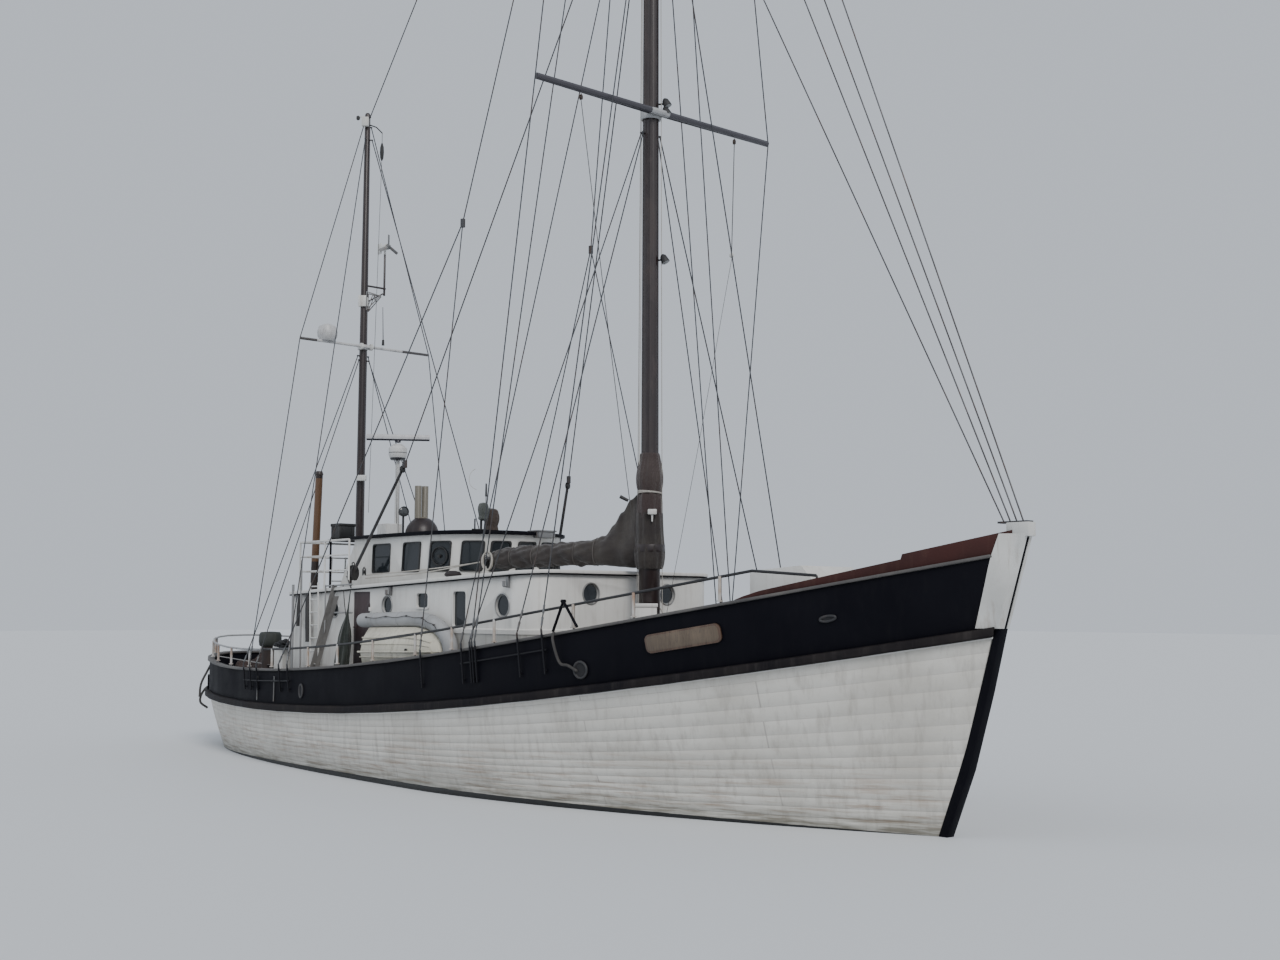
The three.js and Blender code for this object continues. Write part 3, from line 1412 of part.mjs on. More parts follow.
function tenderSkin(inset) {
  return loft(
    tenderPlaces.map((x, i) => {
      const end = inset && i === tenderPlaces.length - 1 ? -inset : 0;
      const half = Math.max(tenderHalfAt(x) - inset, 22);
      const deep = lerp(1, 0.45, clamp((x - 0) / tenderFore, 0, 1) ** 2) * (tenderIn - tenderOut) - inset;
      const mid = tenderMid + (x - tenderAft) * tenderRise;
      const at = (up, out) => vec(x + end, tenderIn - out, mid + up * half);
      return [at(1, -inset * 4), at(0.93, deep * 0.45), at(0.55, deep * 0.82), at(0, deep), at(-0.55, deep * 0.82), at(-0.93, deep * 0.45), at(-1, -inset * 4)];
    }),
  );
}
function aheadOfTransom(wall) {
  const slope = (transomOuter - transomInner) / (tenderIn - tenderOut);
  const at = (y) => [transomInner + wall + (tenderIn - y) * slope, y];
  return prism([at(-1900), at(-2900), [tenderFore, -2900], [tenderFore, -1900]], 1000, 3500);
}
const tenderHull = cut(tenderSkin(0).intersect(aheadOfTransom(0)), [
  tenderSkin(30).intersect(aheadOfTransom(35)),
]);
const collarRadius = 135;
const collarIn = tenderIn - 70;
function collarAt(turn) {
  const run = Math.sin(turn) ** (2 / tenderRound) * tenderBow;
  const x = tenderFore - tenderBow + run;
  return vec(x, collarIn, tenderMid + (x - tenderAft) * tenderRise + tenderBeam * Math.cos(turn));
}
function collarSide(up) {
  return [0, 0.5].map((share) => {
    const x = lerp(tenderAft, tenderFore - tenderBow, share);
    return vec(x, collarIn, tenderMid + (x - tenderAft) * tenderRise + up * tenderBeam);
  });
}
const collarBow = Array.from({ length: 13 }, (_, i) => collarAt((i / 12) * Math.PI));
const collarRun = [...collarSide(1), ...collarBow, ...collarSide(-1).reverse()];
const beyond = (point) => point.clone().add(vec(-30, 0, 0));
const collarFit = tube(
  [beyond(collarRun[0]), ...collarRun, beyond(collarRun[collarRun.length - 1])],
  collarRadius + gap,
  10,
);
place("tender_hull", onDeck(cut(tenderHull, [collarFit])), gelcoat);
place("tender_collar", onDeck(tube(collarRun, collarRadius, 10)), collarGrey);

// Chocks under its lower side, on a bearer that lies along the side deck
const chockIn = -2140;
const chockOut = -2300;
const chocks = [-1650, -700, 150].map((x) => box(x, x + 90, chockOut, chockIn, 1000, 1640));
const bearer = box(-1750, 340, chockOut + 30, chockIn - 30, 1000, 3000).intersect(deckSlab(deckThick, 60));
place("tender_chocks", onDeck(cut(join([bearer, ...chocks]), [collarFit])), brownPaint);

export default boat;
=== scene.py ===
# Finish and fittings for a wooden fishing boat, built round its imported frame.
# Metres; +X forward, +Y to port, +Z up, the water's surface at z = 0.
import json
import math

import bpy
from mathutils import Matrix, Vector

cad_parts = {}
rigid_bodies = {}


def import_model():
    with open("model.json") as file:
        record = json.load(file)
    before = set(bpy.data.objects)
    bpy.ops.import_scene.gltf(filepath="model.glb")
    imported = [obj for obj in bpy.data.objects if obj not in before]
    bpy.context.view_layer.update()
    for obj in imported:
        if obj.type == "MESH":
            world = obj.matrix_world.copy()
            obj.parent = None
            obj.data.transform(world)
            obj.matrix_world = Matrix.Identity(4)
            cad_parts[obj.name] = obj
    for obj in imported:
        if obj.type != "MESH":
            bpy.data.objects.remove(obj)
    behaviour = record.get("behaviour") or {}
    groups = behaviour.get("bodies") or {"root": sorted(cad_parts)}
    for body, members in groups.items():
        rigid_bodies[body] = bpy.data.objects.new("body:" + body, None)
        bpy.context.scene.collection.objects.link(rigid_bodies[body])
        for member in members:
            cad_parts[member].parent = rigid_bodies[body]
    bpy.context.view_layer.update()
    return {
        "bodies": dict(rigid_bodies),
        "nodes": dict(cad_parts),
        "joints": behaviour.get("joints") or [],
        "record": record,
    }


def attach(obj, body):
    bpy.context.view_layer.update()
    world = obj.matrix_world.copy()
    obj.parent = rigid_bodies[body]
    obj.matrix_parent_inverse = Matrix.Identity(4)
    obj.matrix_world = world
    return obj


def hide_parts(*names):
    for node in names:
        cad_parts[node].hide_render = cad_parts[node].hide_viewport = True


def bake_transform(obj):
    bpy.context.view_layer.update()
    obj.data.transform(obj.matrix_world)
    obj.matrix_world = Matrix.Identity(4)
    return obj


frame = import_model()
nodes = frame["nodes"]
record = frame["record"]
scene = bpy.context.scene
fullTurn = 2 * math.pi
bodyOf = {node: body for body, names in record["behaviour"]["bodies"].items() for node in names}
slotOf = {row["node"]: row["material_slot"] for row in record["subparts"]}

# Camera and light
view = {
    "place": (22.2755, -16.6496, 3.0),
    "heading": 48.81,  # degrees from +Y towards -X
    "pitch": 5.03,
    "roll": 0.2,
    "lens": 42.19,
    "sensor": 36,
}
pictureRight = (0.6585, 0.7526, 0)  # the way across the picture


def placeCamera():
    camera = bpy.data.objects.new("camera", bpy.data.cameras.new("camera"))
    scene.collection.objects.link(camera)
    camera.data.lens = view["lens"]
    camera.data.sensor_width = view["sensor"]
    camera.data.sensor_fit = "HORIZONTAL"
    camera.data.clip_end = 600
    turn = Matrix.Rotation(math.radians(view["heading"]), 4, "Z")
    tilt = Matrix.Rotation(math.radians(90 + view["pitch"]), 4, "X")
    roll = Matrix.Rotation(math.radians(view["roll"]), 4, "Z")
    camera.matrix_world = Matrix.Translation(view["place"]) @ turn @ tilt @ roll
    scene.camera = camera


def addSun(name, power, rotation, spread, colour):
    sun = bpy.data.objects.new(name, bpy.data.lights.new(name, "SUN"))
    sun.data.energy = power
    sun.data.angle = math.radians(spread)
    sun.data.color = colour
    sun.rotation_euler = [math.radians(a) for a in rotation]
    scene.collection.objects.link(sun)


def placeLights():
    world = bpy.data.worlds.new("studio")
    scene.world = world
    world.use_nodes = True
    sky = world.node_tree.nodes["Background"]
    sky.inputs["Color"].default_value = (0.80, 0.86, 0.95, 1)
    sky.inputs["Strength"].default_value = 0.75
    addSun("keyLight", 1.9, (50, 0, 68), 25, (1, 0.97, 0.94))
    addSun("fillLight", 0.4, (60, 0, -35), 60, (0.9, 0.95, 1))


placeCamera()
placeLights()
print("camera and lights placed")


# Finishes
def newFinish(name, roughness=0.5, metallic=0.0, **sockets):
    finish = bpy.data.materials.new(name)
    finish.use_nodes = True
    shader = finish.node_tree.nodes["Principled BSDF"]
    for socket, value in {"Roughness": roughness, "Metallic": metallic, **sockets}.items():
        shader.inputs[socket.replace("_", " ")].default_value = value
    return finish, finish.node_tree, shader


def addNode(tree, kind, inputs=(), **settings):  # gives the new node's outputs
    node = tree.nodes.new("ShaderNode" + kind)
    for name, value in settings.items():
        setattr(node, name, value)
    for socket, value in dict(inputs).items():
        if isinstance(value, bpy.types.NodeSocket):
            tree.links.new(value, node.inputs[socket])
        else:
            node.inputs[socket].default_value = value
    return node.outputs


def objectPlace(tree, stretch=(1, 1, 1)):
    place = addNode(tree, "TexCoord")["Object"]
    return addNode(tree, "Mapping", {"Vector": place, "Scale": stretch})["Vector"]


def axesOf(tree):
    return addNode(tree, "SeparateXYZ", {"Vector": addNode(tree, "TexCoord")["Object"]})


def noise(tree, where, scale, detail=4, rough=0.55):
    values = {"Vector": where, "Scale": scale, "Detail": detail, "Roughness": rough}
    return addNode(tree, "TexNoise", values)["Fac"]


def spread(tree, value, low, high, first=0.0, last=1.0):
    values = {"Value": value, "From Min": low, "From Max": high, "To Min": first, "To Max": last}
    return addNode(tree, "MapRange", values)["Result"]


def mottle(tree, stretch, scale, detail, rough, low, high, last=1.0):  # noise drawn out into patches or runs
    return spread(tree, noise(tree, objectPlace(tree, stretch), scale, detail, rough), low, high, 0, last)


def maths(tree, operation, first, second):
    return addNode(tree, "Math", {0: first, 1: second}, operation=operation)["Value"]


def layer(tree, under, over, mask):
    under, over = [(*colour, 1) if isinstance(colour, tuple) else colour for colour in (under, over)]
    return addNode(tree, "Mix", {0: mask, 6: under, 7: over}, data_type="RGBA")[2]


def planking(tree, where, colours, offset, **values):  # rows of planks with a seam between them
    bricks = {"Vector": where, "Scale": 1.0}
    bricks |= {socket.replace("_", " "): value for socket, value in values.items()}
    bricks |= {socket: (*colour, 1) for socket, colour in zip(("Color1", "Color2", "Mortar"), colours)}
    return addNode(tree, "TexBrick", bricks, offset=offset, offset_frequency=3)


def coated(tree, shader, colour, rough, height=None, strength=0.25, distance=0.004):
    tree.links.new(colour, shader.inputs["Base Color"])
    if rough is not None:
        tree.links.new(rough, shader.inputs["Roughness"])
    if height is not None:
        bump = addNode(tree, "Bump", {"Strength": strength, "Distance": distance, "Height": height})
        tree.links.new(bump["Normal"], shader.inputs["Normal"])


def weathered(name, colour, second, dirt, rough=0.5, metallic=0.0, patch=1.1, streak=0.4, grain=45, bump=0.2,
              **more):
    finish, tree, shader = newFinish(name, rough, metallic, **more)
    where = objectPlace(tree)
    patches = spread(tree, noise(tree, where, patch, 6, 0.6), 0.38, 0.64)
    base = layer(tree, colour, second, patches)
    base = layer(tree, base, dirt, mottle(tree, (7, 7, 0.8), 1.6, 5, 0.6, 0.52, 0.72, streak))
    fine = noise(tree, where, grain, 5, 0.7)
    base = layer(tree, base, dirt, spread(tree, fine, 0.62, 0.74, 0, streak * 0.6))
    worn = maths(tree, "ADD", maths(tree, "MULTIPLY", patches, 0.16), maths(tree, "MULTIPLY", fine, 0.12))
    coated(tree, shader, base, maths(tree, "ADD", worn, rough - 0.14), fine, bump, 0.006)
    return finish


whitePlanks = {
    "colours": ((0.60, 0.585, 0.54), (0.565, 0.55, 0.505), (0.37, 0.35, 0.325)),  # two whites and the seams
    "tired": (0.47, 0.45, 0.405),
    "dirt": (0.30, 0.275, 0.24),
    "rust": (0.27, 0.155, 0.085),
    "scum": (0.16, 0.155, 0.125),
    "specks": (0.22, 0.19, 0.16),
    "bootTop": (0.012, 0.013, 0.014),
    "bootTopHeight": 0.10,
    "bootTopSheer": 0.0011,
    "plankLong": 7.5,
}


def hullFinish():
    p = whitePlanks
    finish, tree, shader = newFinish("whitePlanks", 0.5)
    along = addNode(tree, "UVMap")["UV"]
    base = planking(tree, along, p["colours"], 0.37, Mortar_Size=0.014, Mortar_Smooth=0.6, Bias=-0.2,
                    Brick_Width=p["plankLong"], Row_Height=1.0)["Color"]
    where = objectPlace(tree)
    axes = axesOf(tree)
    base = layer(tree, base, p["tired"], spread(tree, noise(tree, where, 0.9, 7, 0.62), 0.42, 0.66, 0, 0.85))
    base = layer(tree, base, p["dirt"], mottle(tree, (5, 5, 0.55), 1.8, 6, 0.62, 0.5, 0.74, 0.55))
    along = noise(tree, objectPlace(tree, (0.6, 0.6, 9)), 2.2, 5, 0.6)
    low = spread(tree, axes["Z"], 1.15, 0.15, 0, 0.9)
    base = layer(tree, base, p["rust"], maths(tree, "MULTIPLY", low, spread(tree, along, 0.5, 0.68, 0, 0.8)))
    low = spread(tree, axes["Z"], 0.34, 0.08, 0, 0.85)
    base = layer(tree, base, p["scum"], maths(tree, "MULTIPLY", low, spread(tree, along, 0.3, 0.6)))
    fine = noise(tree, where, 34, 5, 0.7)
    base = layer(tree, base, p["specks"], spread(tree, fine, 0.62, 0.76, 0, 0.5))
    square = maths(tree, "MULTIPLY", axes["X"], axes["X"])
    line = maths(tree, "ADD", axes["Z"], maths(tree, "MULTIPLY", square, p["bootTopSheer"]))
    edge = maths(tree, "ADD", line, maths(tree, "MULTIPLY", noise(tree, where, 3, 4), 0.02))
    under = spread(tree, edge, p["bootTopHeight"] + 0.012, p["bootTopHeight"] + 0.006)
    base = layer(tree, base, p["bootTop"], under)
    rough = spread(tree, fine, 0.3, 0.7, 0.42, 0.62)
    coated(tree, shader, base, rough, maths(tree, "ADD", fine, along), 0.25, 0.006)
    return finish


def plankedFinish(name, colour, second, seam, wide, long, rough):
    finish, tree, shader = newFinish(name, rough)
    bricks = planking(tree, objectPlace(tree), (colour, second, seam), 0.41, Mortar_Size=0.004,
                      Mortar_Smooth=0.3, Bias=0.0, Brick_Width=long, Row_Height=wide)
    grain = noise(tree, objectPlace(tree, (2.5, 45, 45)), 2.0, 6, 0.65)
    base = layer(tree, bricks["Color"], seam, spread(tree, grain, 0.45, 0.72, 0, 0.55))
    stains = mottle(tree, (1, 1, 1), 1.4, 5, 0.55, 0.48, 0.66, 0.5)
    base = layer(tree, base, tuple(0.55 * c for c in second), stains)
    height = maths(tree, "SUBTRACT", grain, maths(tree, "MULTIPLY", bricks["Fac"], 2.0))
    coated(tree, shader, base, spread(tree, grain, 0.3, 0.7, rough - 0.1, rough + 0.12), height, 0.3)
    return finish


def sparFinish(name, colour, second, dark, rough=0.34):
    finish, tree, shader = newFinish(name, rough, Coat_Weight=0.35, Coat_Roughness=0.25)
    grain = noise(tree, objectPlace(tree, (22, 22, 0.8)), 2.2, 7, 0.65)
    base = layer(tree, colour, second, spread(tree, grain, 0.36, 0.62))
    bare = mottle(tree, (2, 2, 0.6), 2.4, 6, 0.6, 0.52, 0.7, 0.7)
    base = layer(tree, base, dark, bare)
    checks = mottle(tree, (60, 60, 1.2), 2.0, 3, 0.55, 0.66, 0.72, 0.9)
    base = layer(tree, base, (0.008, 0.006, 0.005), checks)
    coated(tree, shader, base, spread(tree, bare, 0, 0.7, rough, rough + 0.25),
           maths(tree, "SUBTRACT", grain, checks))
    return finish


def clothFinish(name, colour, second, thread=0.004):
    finish, tree, shader = newFinish(name, 0.9, Sheen_Weight=0.25, Sheen_Roughness=0.5)
    where = objectPlace(tree)
    wave = {"Vector": where, "Scale": 1 / thread / 6.283, "Distortion": 0.6}
    weave = [addNode(tree, "TexWave", wave, bands_direction=axis)["Fac"] for axis in ("X", "Z")]
    cloth = maths(tree, "MULTIPLY", *weave)
    base = layer(tree, colour, second, spread(tree, noise(tree, where, 2.6, 6, 0.65), 0.4, 0.66))
    base = layer(tree, base, tuple(0.5 * c for c in colour), spread(tree, cloth, 0, 0.6, 0.5, 0))
    creases = noise(tree, objectPlace(tree, (4, 4, 9)), 2.5, 5, 0.6)
    height = maths(tree, "ADD", maths(tree, "MULTIPLY", cloth, 0.25), creases)
    coated(tree, shader, base, None, height, 0.5, 0.02)
    return finish


paints = {
    "white_paint": weathered(
        "whitePaint", (0.66, 0.655, 0.63), (0.6, 0.59, 0.56), (0.36, 0.33, 0.29), 0.46, streak=0.3, grain=30),
    "black_paint": weathered(
        "blackPaint", (0.0028, 0.0028, 0.0055), (0.005, 0.005, 0.008), (0.018, 0.017, 0.018), 0.6,
        streak=0.12, Specular_IOR_Level=0.08),
    "brown_paint": weathered(
        "brownPaint", (0.045, 0.014, 0.012), (0.030, 0.011, 0.010), (0.09, 0.05, 0.035), 0.55, streak=0.25,
        Specular_IOR_Level=0.2),
    "grey_paint": weathered(
        "greyPaint", (0.17, 0.175, 0.18), (0.115, 0.115, 0.115), (0.14, 0.075, 0.04), 0.5, streak=0.6),
    "deck_wood": plankedFinish(
        "deckWood", (0.22, 0.175, 0.13), (0.17, 0.135, 0.10), (0.03, 0.026, 0.022), 0.095, 3.8, 0.72),
    "spar_wood": sparFinish("sparWood", (0.019, 0.0095, 0.0095), (0.012, 0.006, 0.0065),
                            (0.042, 0.028, 0.025), 0.42),
    "varnish": sparFinish("varnish", (0.085, 0.046, 0.026), (0.05, 0.026, 0.015), (0.17, 0.12, 0.08), 0.38),
    "rig_steel": weathered(
        "rigSteel", (0.055, 0.057, 0.062), (0.038, 0.036, 0.037), (0.09, 0.045, 0.025), 0.5, 0.5, streak=0.6),
    "bronze": weathered(
        "bronze", (0.42, 0.26, 0.11), (0.25, 0.17, 0.09), (0.10, 0.16, 0.12), 0.38, 1.0, streak=0.5),
    "canvas": clothFinish("canvas", (0.040, 0.034, 0.031), (0.066, 0.056, 0.050)),
    "collar_grey": weathered(
        "collarGrey", (0.34, 0.345, 0.35), (0.28, 0.285, 0.29), (0.17, 0.16, 0.145), 0.62, streak=0.35),
    "gelcoat": weathered(
        "gelcoat", (0.60, 0.575, 0.48), (0.52, 0.495, 0.41), (0.26, 0.23, 0.17), 0.35, streak=0.55),
    "white_metal": weathered(
        "whiteMetal", (0.62, 0.62, 0.60), (0.50, 0.50, 0.48), (0.22, 0.15, 0.09), 0.4, streak=0.5),
    "brown_metal": weathered(
        "brownMetal", (0.030, 0.020, 0.017), (0.045, 0.031, 0.024), (0.10, 0.06, 0.035), 0.5, 0.1,
        streak=0.5),
    "hull_paint": hullFinish(),
}
print("finishes mixed")


# Working tools
def rise(z):
    return Vector((0, 0, z))


def within(share):  # kept between 0 and 1
    return min(max(share, 0), 1)


def basis(along, up, out, place):
    return Matrix((*zip(along, up, out, place), (0, 0, 0, 1)))


def alongAt(path, i):  # the way a path runs at one of its points
    return path[min(i + 1, len(path) - 1)] - path[max(i - 1, 0)]


def ellipse(wide, high, steps):
    turns = [fullTurn * k / steps for k in range(steps)]
    return [(wide * math.cos(turn), high * math.sin(turn)) for turn in turns]


def clearSelection():
    if bpy.context.object and bpy.context.object.mode != "OBJECT":
        bpy.ops.object.mode_set(mode="OBJECT")
    bpy.ops.object.select_all(action="DESELECT")


def pick(piece):
    clearSelection()
    piece.select_set(True)
    bpy.context.view_layer.objects.active = piece


def openMesh(piece):
    pick(piece)
    bpy.ops.object.mode_set(mode="EDIT")
    bpy.ops.mesh.select_all(action="SELECT")


def closeMesh(outward=False):
    if outward:
        bpy.ops.mesh.select_all(action="SELECT")
        bpy.ops.mesh.normals_make_consistent(inside=False)
    bpy.ops.object.mode_set(mode="OBJECT")


def faceOut(piece, double=0.0):  # doubles merged where a distance is given, then every face turned outwards
    openMesh(piece)
    if double:
        bpy.ops.mesh.remove_doubles(threshold=double)
    closeMesh(outward=True)


def settle(piece):
    pick(piece)
    bpy.ops.object.transform_apply(location=True, rotation=True, scale=True)
    return piece


def apply(piece, kind, **values):
    pick(piece)
    modifier = piece.modifiers.new(kind.lower(), kind)
    for name, value in values.items():
        setattr(modifier, name, value)
    bpy.ops.object.modifier_apply(modifier=modifier.name)
    return piece


def rounded(piece):
    return apply(piece, "SUBSURF", levels=1, render_levels=1)


def softened(piece, width, segments=2, limit=35):
    return apply(piece, "BEVEL", width=width, segments=segments, limit_method="ANGLE",
                 angle_limit=math.radians(limit))


def addBlock(low, high, soften=0.005, turn=0.0):
    clearSelection()
    size = [b - a for a, b in zip(low, high)]
    middle = [(a + b) / 2 for a, b in zip(low, high)]
    bpy.ops.mesh.primitive_cube_add(size=1, location=middle, rotation=(0, 0, turn), scale=size)
    block = settle(bpy.context.object)
    return softened(block, soften) if soften else block


def addRod(start, end, radius, tip=None, sides=12):
    clearSelection()
    start, end = Vector(start), Vector(end)
    along = end - start
    bpy.ops.mesh.primitive_cone_add(
        vertices=sides, radius1=radius, radius2=radius if tip is None else tip, depth=along.length,
        location=(start + end) / 2, rotation=along.to_track_quat("Z", "Y").to_euler())
    return settle(bpy.context.object)


def addTurned(profile, place, steps=24, axis=(0, 0, 1)):
    clearSelection()
    bpy.ops.mesh.primitive_circle_add(vertices=steps, radius=profile[0][0], fill_type="NGON")
    turned = bpy.context.object
    openMesh(turned)
    for (radius, height), (nextRadius, nextHeight) in zip(profile, profile[1:]):
        bpy.ops.mesh.extrude_region_move(TRANSFORM_OT_translate={"value": (0, 0, nextHeight - height)})
        grow = nextRadius / radius
        bpy.ops.transform.resize(value=(grow, grow, 1), center_override=(0, 0, 0))
    closeMesh(outward=True)
    turn = Vector(axis).to_track_quat("Z", "Y").to_matrix().to_4x4()
    turned.data.transform(Matrix.Translation(place) @ turn @ Matrix.Translation((0, 0, profile[0][1])))
    return turned


def addRing(place, axis, radius, thick, steps=32, sides=8):
    clearSelection()
    bpy.ops.mesh.primitive_torus_add(
        major_radius=radius, minor_radius=thick, major_segments=steps, minor_segments=sides,
        location=place, rotation=Vector(axis).to_track_quat("Z", "Y").to_euler())
    return settle(bpy.context.object)


def addHose(points, radius, resolution=4, sides=3, cyclic=False, straight=False):
    clearSelection()
    curve = bpy.data.curves.new("hose", "CURVE")
    curve.dimensions = "3D"
    curve.resolution_u = resolution
    curve.bevel_depth = radius
    curve.bevel_resolution = sides
    curve.use_fill_caps = True
    spline = curve.splines.new("POLY" if straight else "BEZIER")
    knots = spline.points if straight else spline.bezier_points
    knots.add(len(points) - 1)
    for knot, point in zip(knots, points):
        knot.co = (*point, 1) if straight else point
        if not straight:
            knot.handle_left_type = knot.handle_right_type = "AUTO"
    spline.use_cyclic_u = cyclic
    hose = bpy.data.objects.new("hose", curve)
    scene.collection.objects.link(hose)
    pick(hose)
    bpy.ops.object.convert(target="MESH")
    return bpy.context.object


def between(a, b, c, d, t):  # a smooth curve from b to c
    bend = (2 * a - 5 * b + 4 * c - d) * t * t
    return 0.5 * (2 * b + (c - a) * t + bend + (3 * b - a - 3 * c + d) * t ** 3)


def smoothRun(points, each=8):  # points along a smooth line through the given ones
    ends = [2 * points[0] - points[1], *points, 2 * points[-1] - points[-2]]
    spans = zip(ends, ends[1:], ends[2:], ends[3:])
    return [*[between(*span, k / each) for span in spans for k in range(each)], points[-1]]


def freeCord(points, radius, name, finish, body="vessel"):
    run = smoothRun([Vector(p) for p in points])
    cord = finished(addHose(run, radius, straight=True), name, "canvas", body, finish, 70)


def coilRun(middle, wide, high, turns, pitch):  # a hanging coil seen broadside in the picture
    across = Vector(pictureRight).normalized()
    depth = Vector((across.y, -across.x, 0))
    run = []
    for k in range(turns * 12 + 1):
        t = fullTurn * k / 12 + math.pi / 2
        swell = 1 + 0.12 * math.sin(0.9 * k)
        run.append(Vector(middle) + across * (wide * swell * math.cos(t)) + rise(high * math.sin(t))
                   + depth * (pitch * (k / 12 - turns / 2)))
    return run


def addOutline(points, thick, soften=0.0):
    clearSelection()
    bpy.ops.mesh.primitive_circle_add(vertices=len(points), radius=1, fill_type="NGON")
    plate = bpy.context.object
    for vertex, (x, y) in zip(plate.data.vertices, points):
        vertex.co = (x, y, -thick / 2)
    openMesh(plate)
    bpy.ops.mesh.extrude_region_move(TRANSFORM_OT_translate={"value": (0, 0, thick)})
    closeMesh(outward=True)
    return softened(plate, soften) if soften else plate


def moved(piece, matrix):
    piece.data.transform(matrix)
    if matrix.to_3x3().determinant() < 0:
        openMesh(piece)
        bpy.ops.mesh.flip_normals()
        closeMesh()
    return piece


def joined(pieces):
    clearSelection()
    for piece in pieces:
        piece.select_set(True)
    bpy.context.view_layer.objects.active = pieces[0]
    bpy.ops.object.join()
    return bpy.context.object


def finished(piece, name, slot, body="vessel", finish=None, smooth=40):
    if isinstance(piece, list):
        piece = joined(piece)
    pick(piece)
    piece.name = piece.data.name = name
    bpy.ops.object.shade_smooth_by_angle(angle=math.radians(smooth))
    piece.data.materials.clear()
    piece.data.materials.append(finish or paints[slot])
    if body:
        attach(piece, body)
    return piece


def riggingFinish():  # steel wire, with its plates painted black below the cap rail
    finish, tree, shader = newFinish("riggingWire", 0.5, 0.4)
    axes = axesOf(tree)
    slope = maths(tree, "ADD", maths(tree, "MULTIPLY", axes["X"], 0.00608), 0.0925)
    capLine = maths(tree, "ADD", maths(tree, "MULTIPLY", axes["X"], slope), 2.15)
    above = spread(tree, maths(tree, "SUBTRACT", axes["Z"], capLine), 0.02, 0.05)
    rust = mottle(tree, (6, 6, 0.7), 2.2, 5, 0.55, 0.5, 0.68, 0.7)
    steel = layer(tree, (0.055, 0.058, 0.064), (0.075, 0.044, 0.030), rust)
    strands = noise(tree, objectPlace(tree, (90, 90, 260)), 1.5, 3)
    coated(tree, shader, layer(tree, (0.005, 0.005, 0.008), steel, above),
           spread(tree, strands, 0.3, 0.7, 0.4, 0.62), strands, 0.25, 0.002)
    return finish


def bandedFinish(name, colour, band, edges, axis="Z", rough=0.45):  # each band from a to b
    finish, tree, shader = newFinish(name, rough)
    where = axesOf(tree)[axis]
    patches = mottle(tree, (3, 3, 0.8), 2.5, 6, 0.62, 0.45, 0.68, 0.55)
    base = layer(tree, colour, tuple(0.62 * c for c in colour), patches)
    base = layer(tree, base, (0.10, 0.055, 0.03), mottle(tree, (9, 9, 1.4), 3.1, 5, 0.6, 0.6, 0.72, 0.5))
    for low, high in edges:
        ends = [spread(tree, where, end - way, end + way) for end, way in ((low, 0.003), (high, -0.003))]
        base = layer(tree, base, band, maths(tree, "MULTIPLY", *ends))
    coated(tree, shader, base, spread(tree, patches, 0, 1, rough - 0.06, rough + 0.2))
    return finish


ownFinish = {
    "boat_deck_rail": paints["white_metal"],
    "boat_deck_ladder": paints["white_metal"],
    "main_spreader": bandedFinish("crosstreePaint", (0.36, 0.365, 0.37), (0.050, 0.048, 0.058),
                                  [(-3, -0.2), (0.2, 3)], "Y"),
    "upper_spreader": weathered("upperCrosstree", (0.060, 0.058, 0.066), (0.10, 0.10, 0.105),
                                (0.06, 0.045, 0.04), 0.5),
    "mizzen_spreader": bandedFinish("mizzenCrosstree", (0.50, 0.50, 0.50), (0.07, 0.065, 0.065),
                                    [(-3, -1.2), (0.9, 3)], "Y"),
    "radar_mast": bandedFinish("radarPost", (0.56, 0.56, 0.55), (0.03, 0.03, 0.035),
                               [(6.12, 6.175), (6.27, 6.285)]),
    "boat_post": bandedFinish("oldPost", (0.12, 0.062, 0.030), (0.022, 0.014, 0.012), [(0, 4.0), (5.69, 6)],
                              rough=0.5),
    "cap_rail": weathered("cappingWood", (0.055, 0.052, 0.052), (0.10, 0.095, 0.090), (0.02, 0.018, 0.018),
                          0.6, streak=0.3),
    "rubbing_strake": weathered("strakeWood", (0.006, 0.005, 0.007), (0.020, 0.017, 0.017),
                                (0.06, 0.054, 0.05), 0.65, streak=0.3, grain=22, Specular_IOR_Level=0.12),
    "side_door_starboard": weathered("doorPaint", (0.026, 0.014, 0.017), (0.036, 0.019, 0.021),
                                     (0.07, 0.05, 0.045), 0.5),
    "funnel_casing": bandedFinish("funnelPaint", (0.018, 0.011, 0.012), (0.17, 0.155, 0.125), [(4.925, 7)]),
    "guard_rail_starboard": bandedFinish("railPaint", (0.30, 0.305, 0.31), (0.012, 0.012, 0.014),
                                         [(-5.6, 12)], "X", 0.5),
    "after_rigging_starboard": riggingFinish(),
}
ownFinish["guard_rail_port"] = ownFinish["guard_rail_starboard"]
for node in ("side_door_port", "wheelhouse_door", "companion_door"):
    ownFinish[node] = ownFinish["side_door_starboard"]
for node in ("after_rigging_port", "main_shrouds_starboard", "main_shrouds_port"):
    ownFinish[node] = ownFinish["after_rigging_starboard"]

# The frame's own nodes, copied, merged, softened and painted
edges = {
    "default": 0.006, "side_door_port": 0.003, "side_door_starboard": 0.003, "bulwark": 0.012,
    "cap_rail": 0.012, "rubbing_strake": 0.014, "deckhouse_roof": 0.012,
}
ownPieces = [  # modelled further on
    "hull", "stowed_sail", "luff_cover", "tender_collar", "after_drum", "after_locker", "roof_locker",
    "radar_scanner",
]
plateEdge = 10.51  # the cap rail stops at the white bow plates


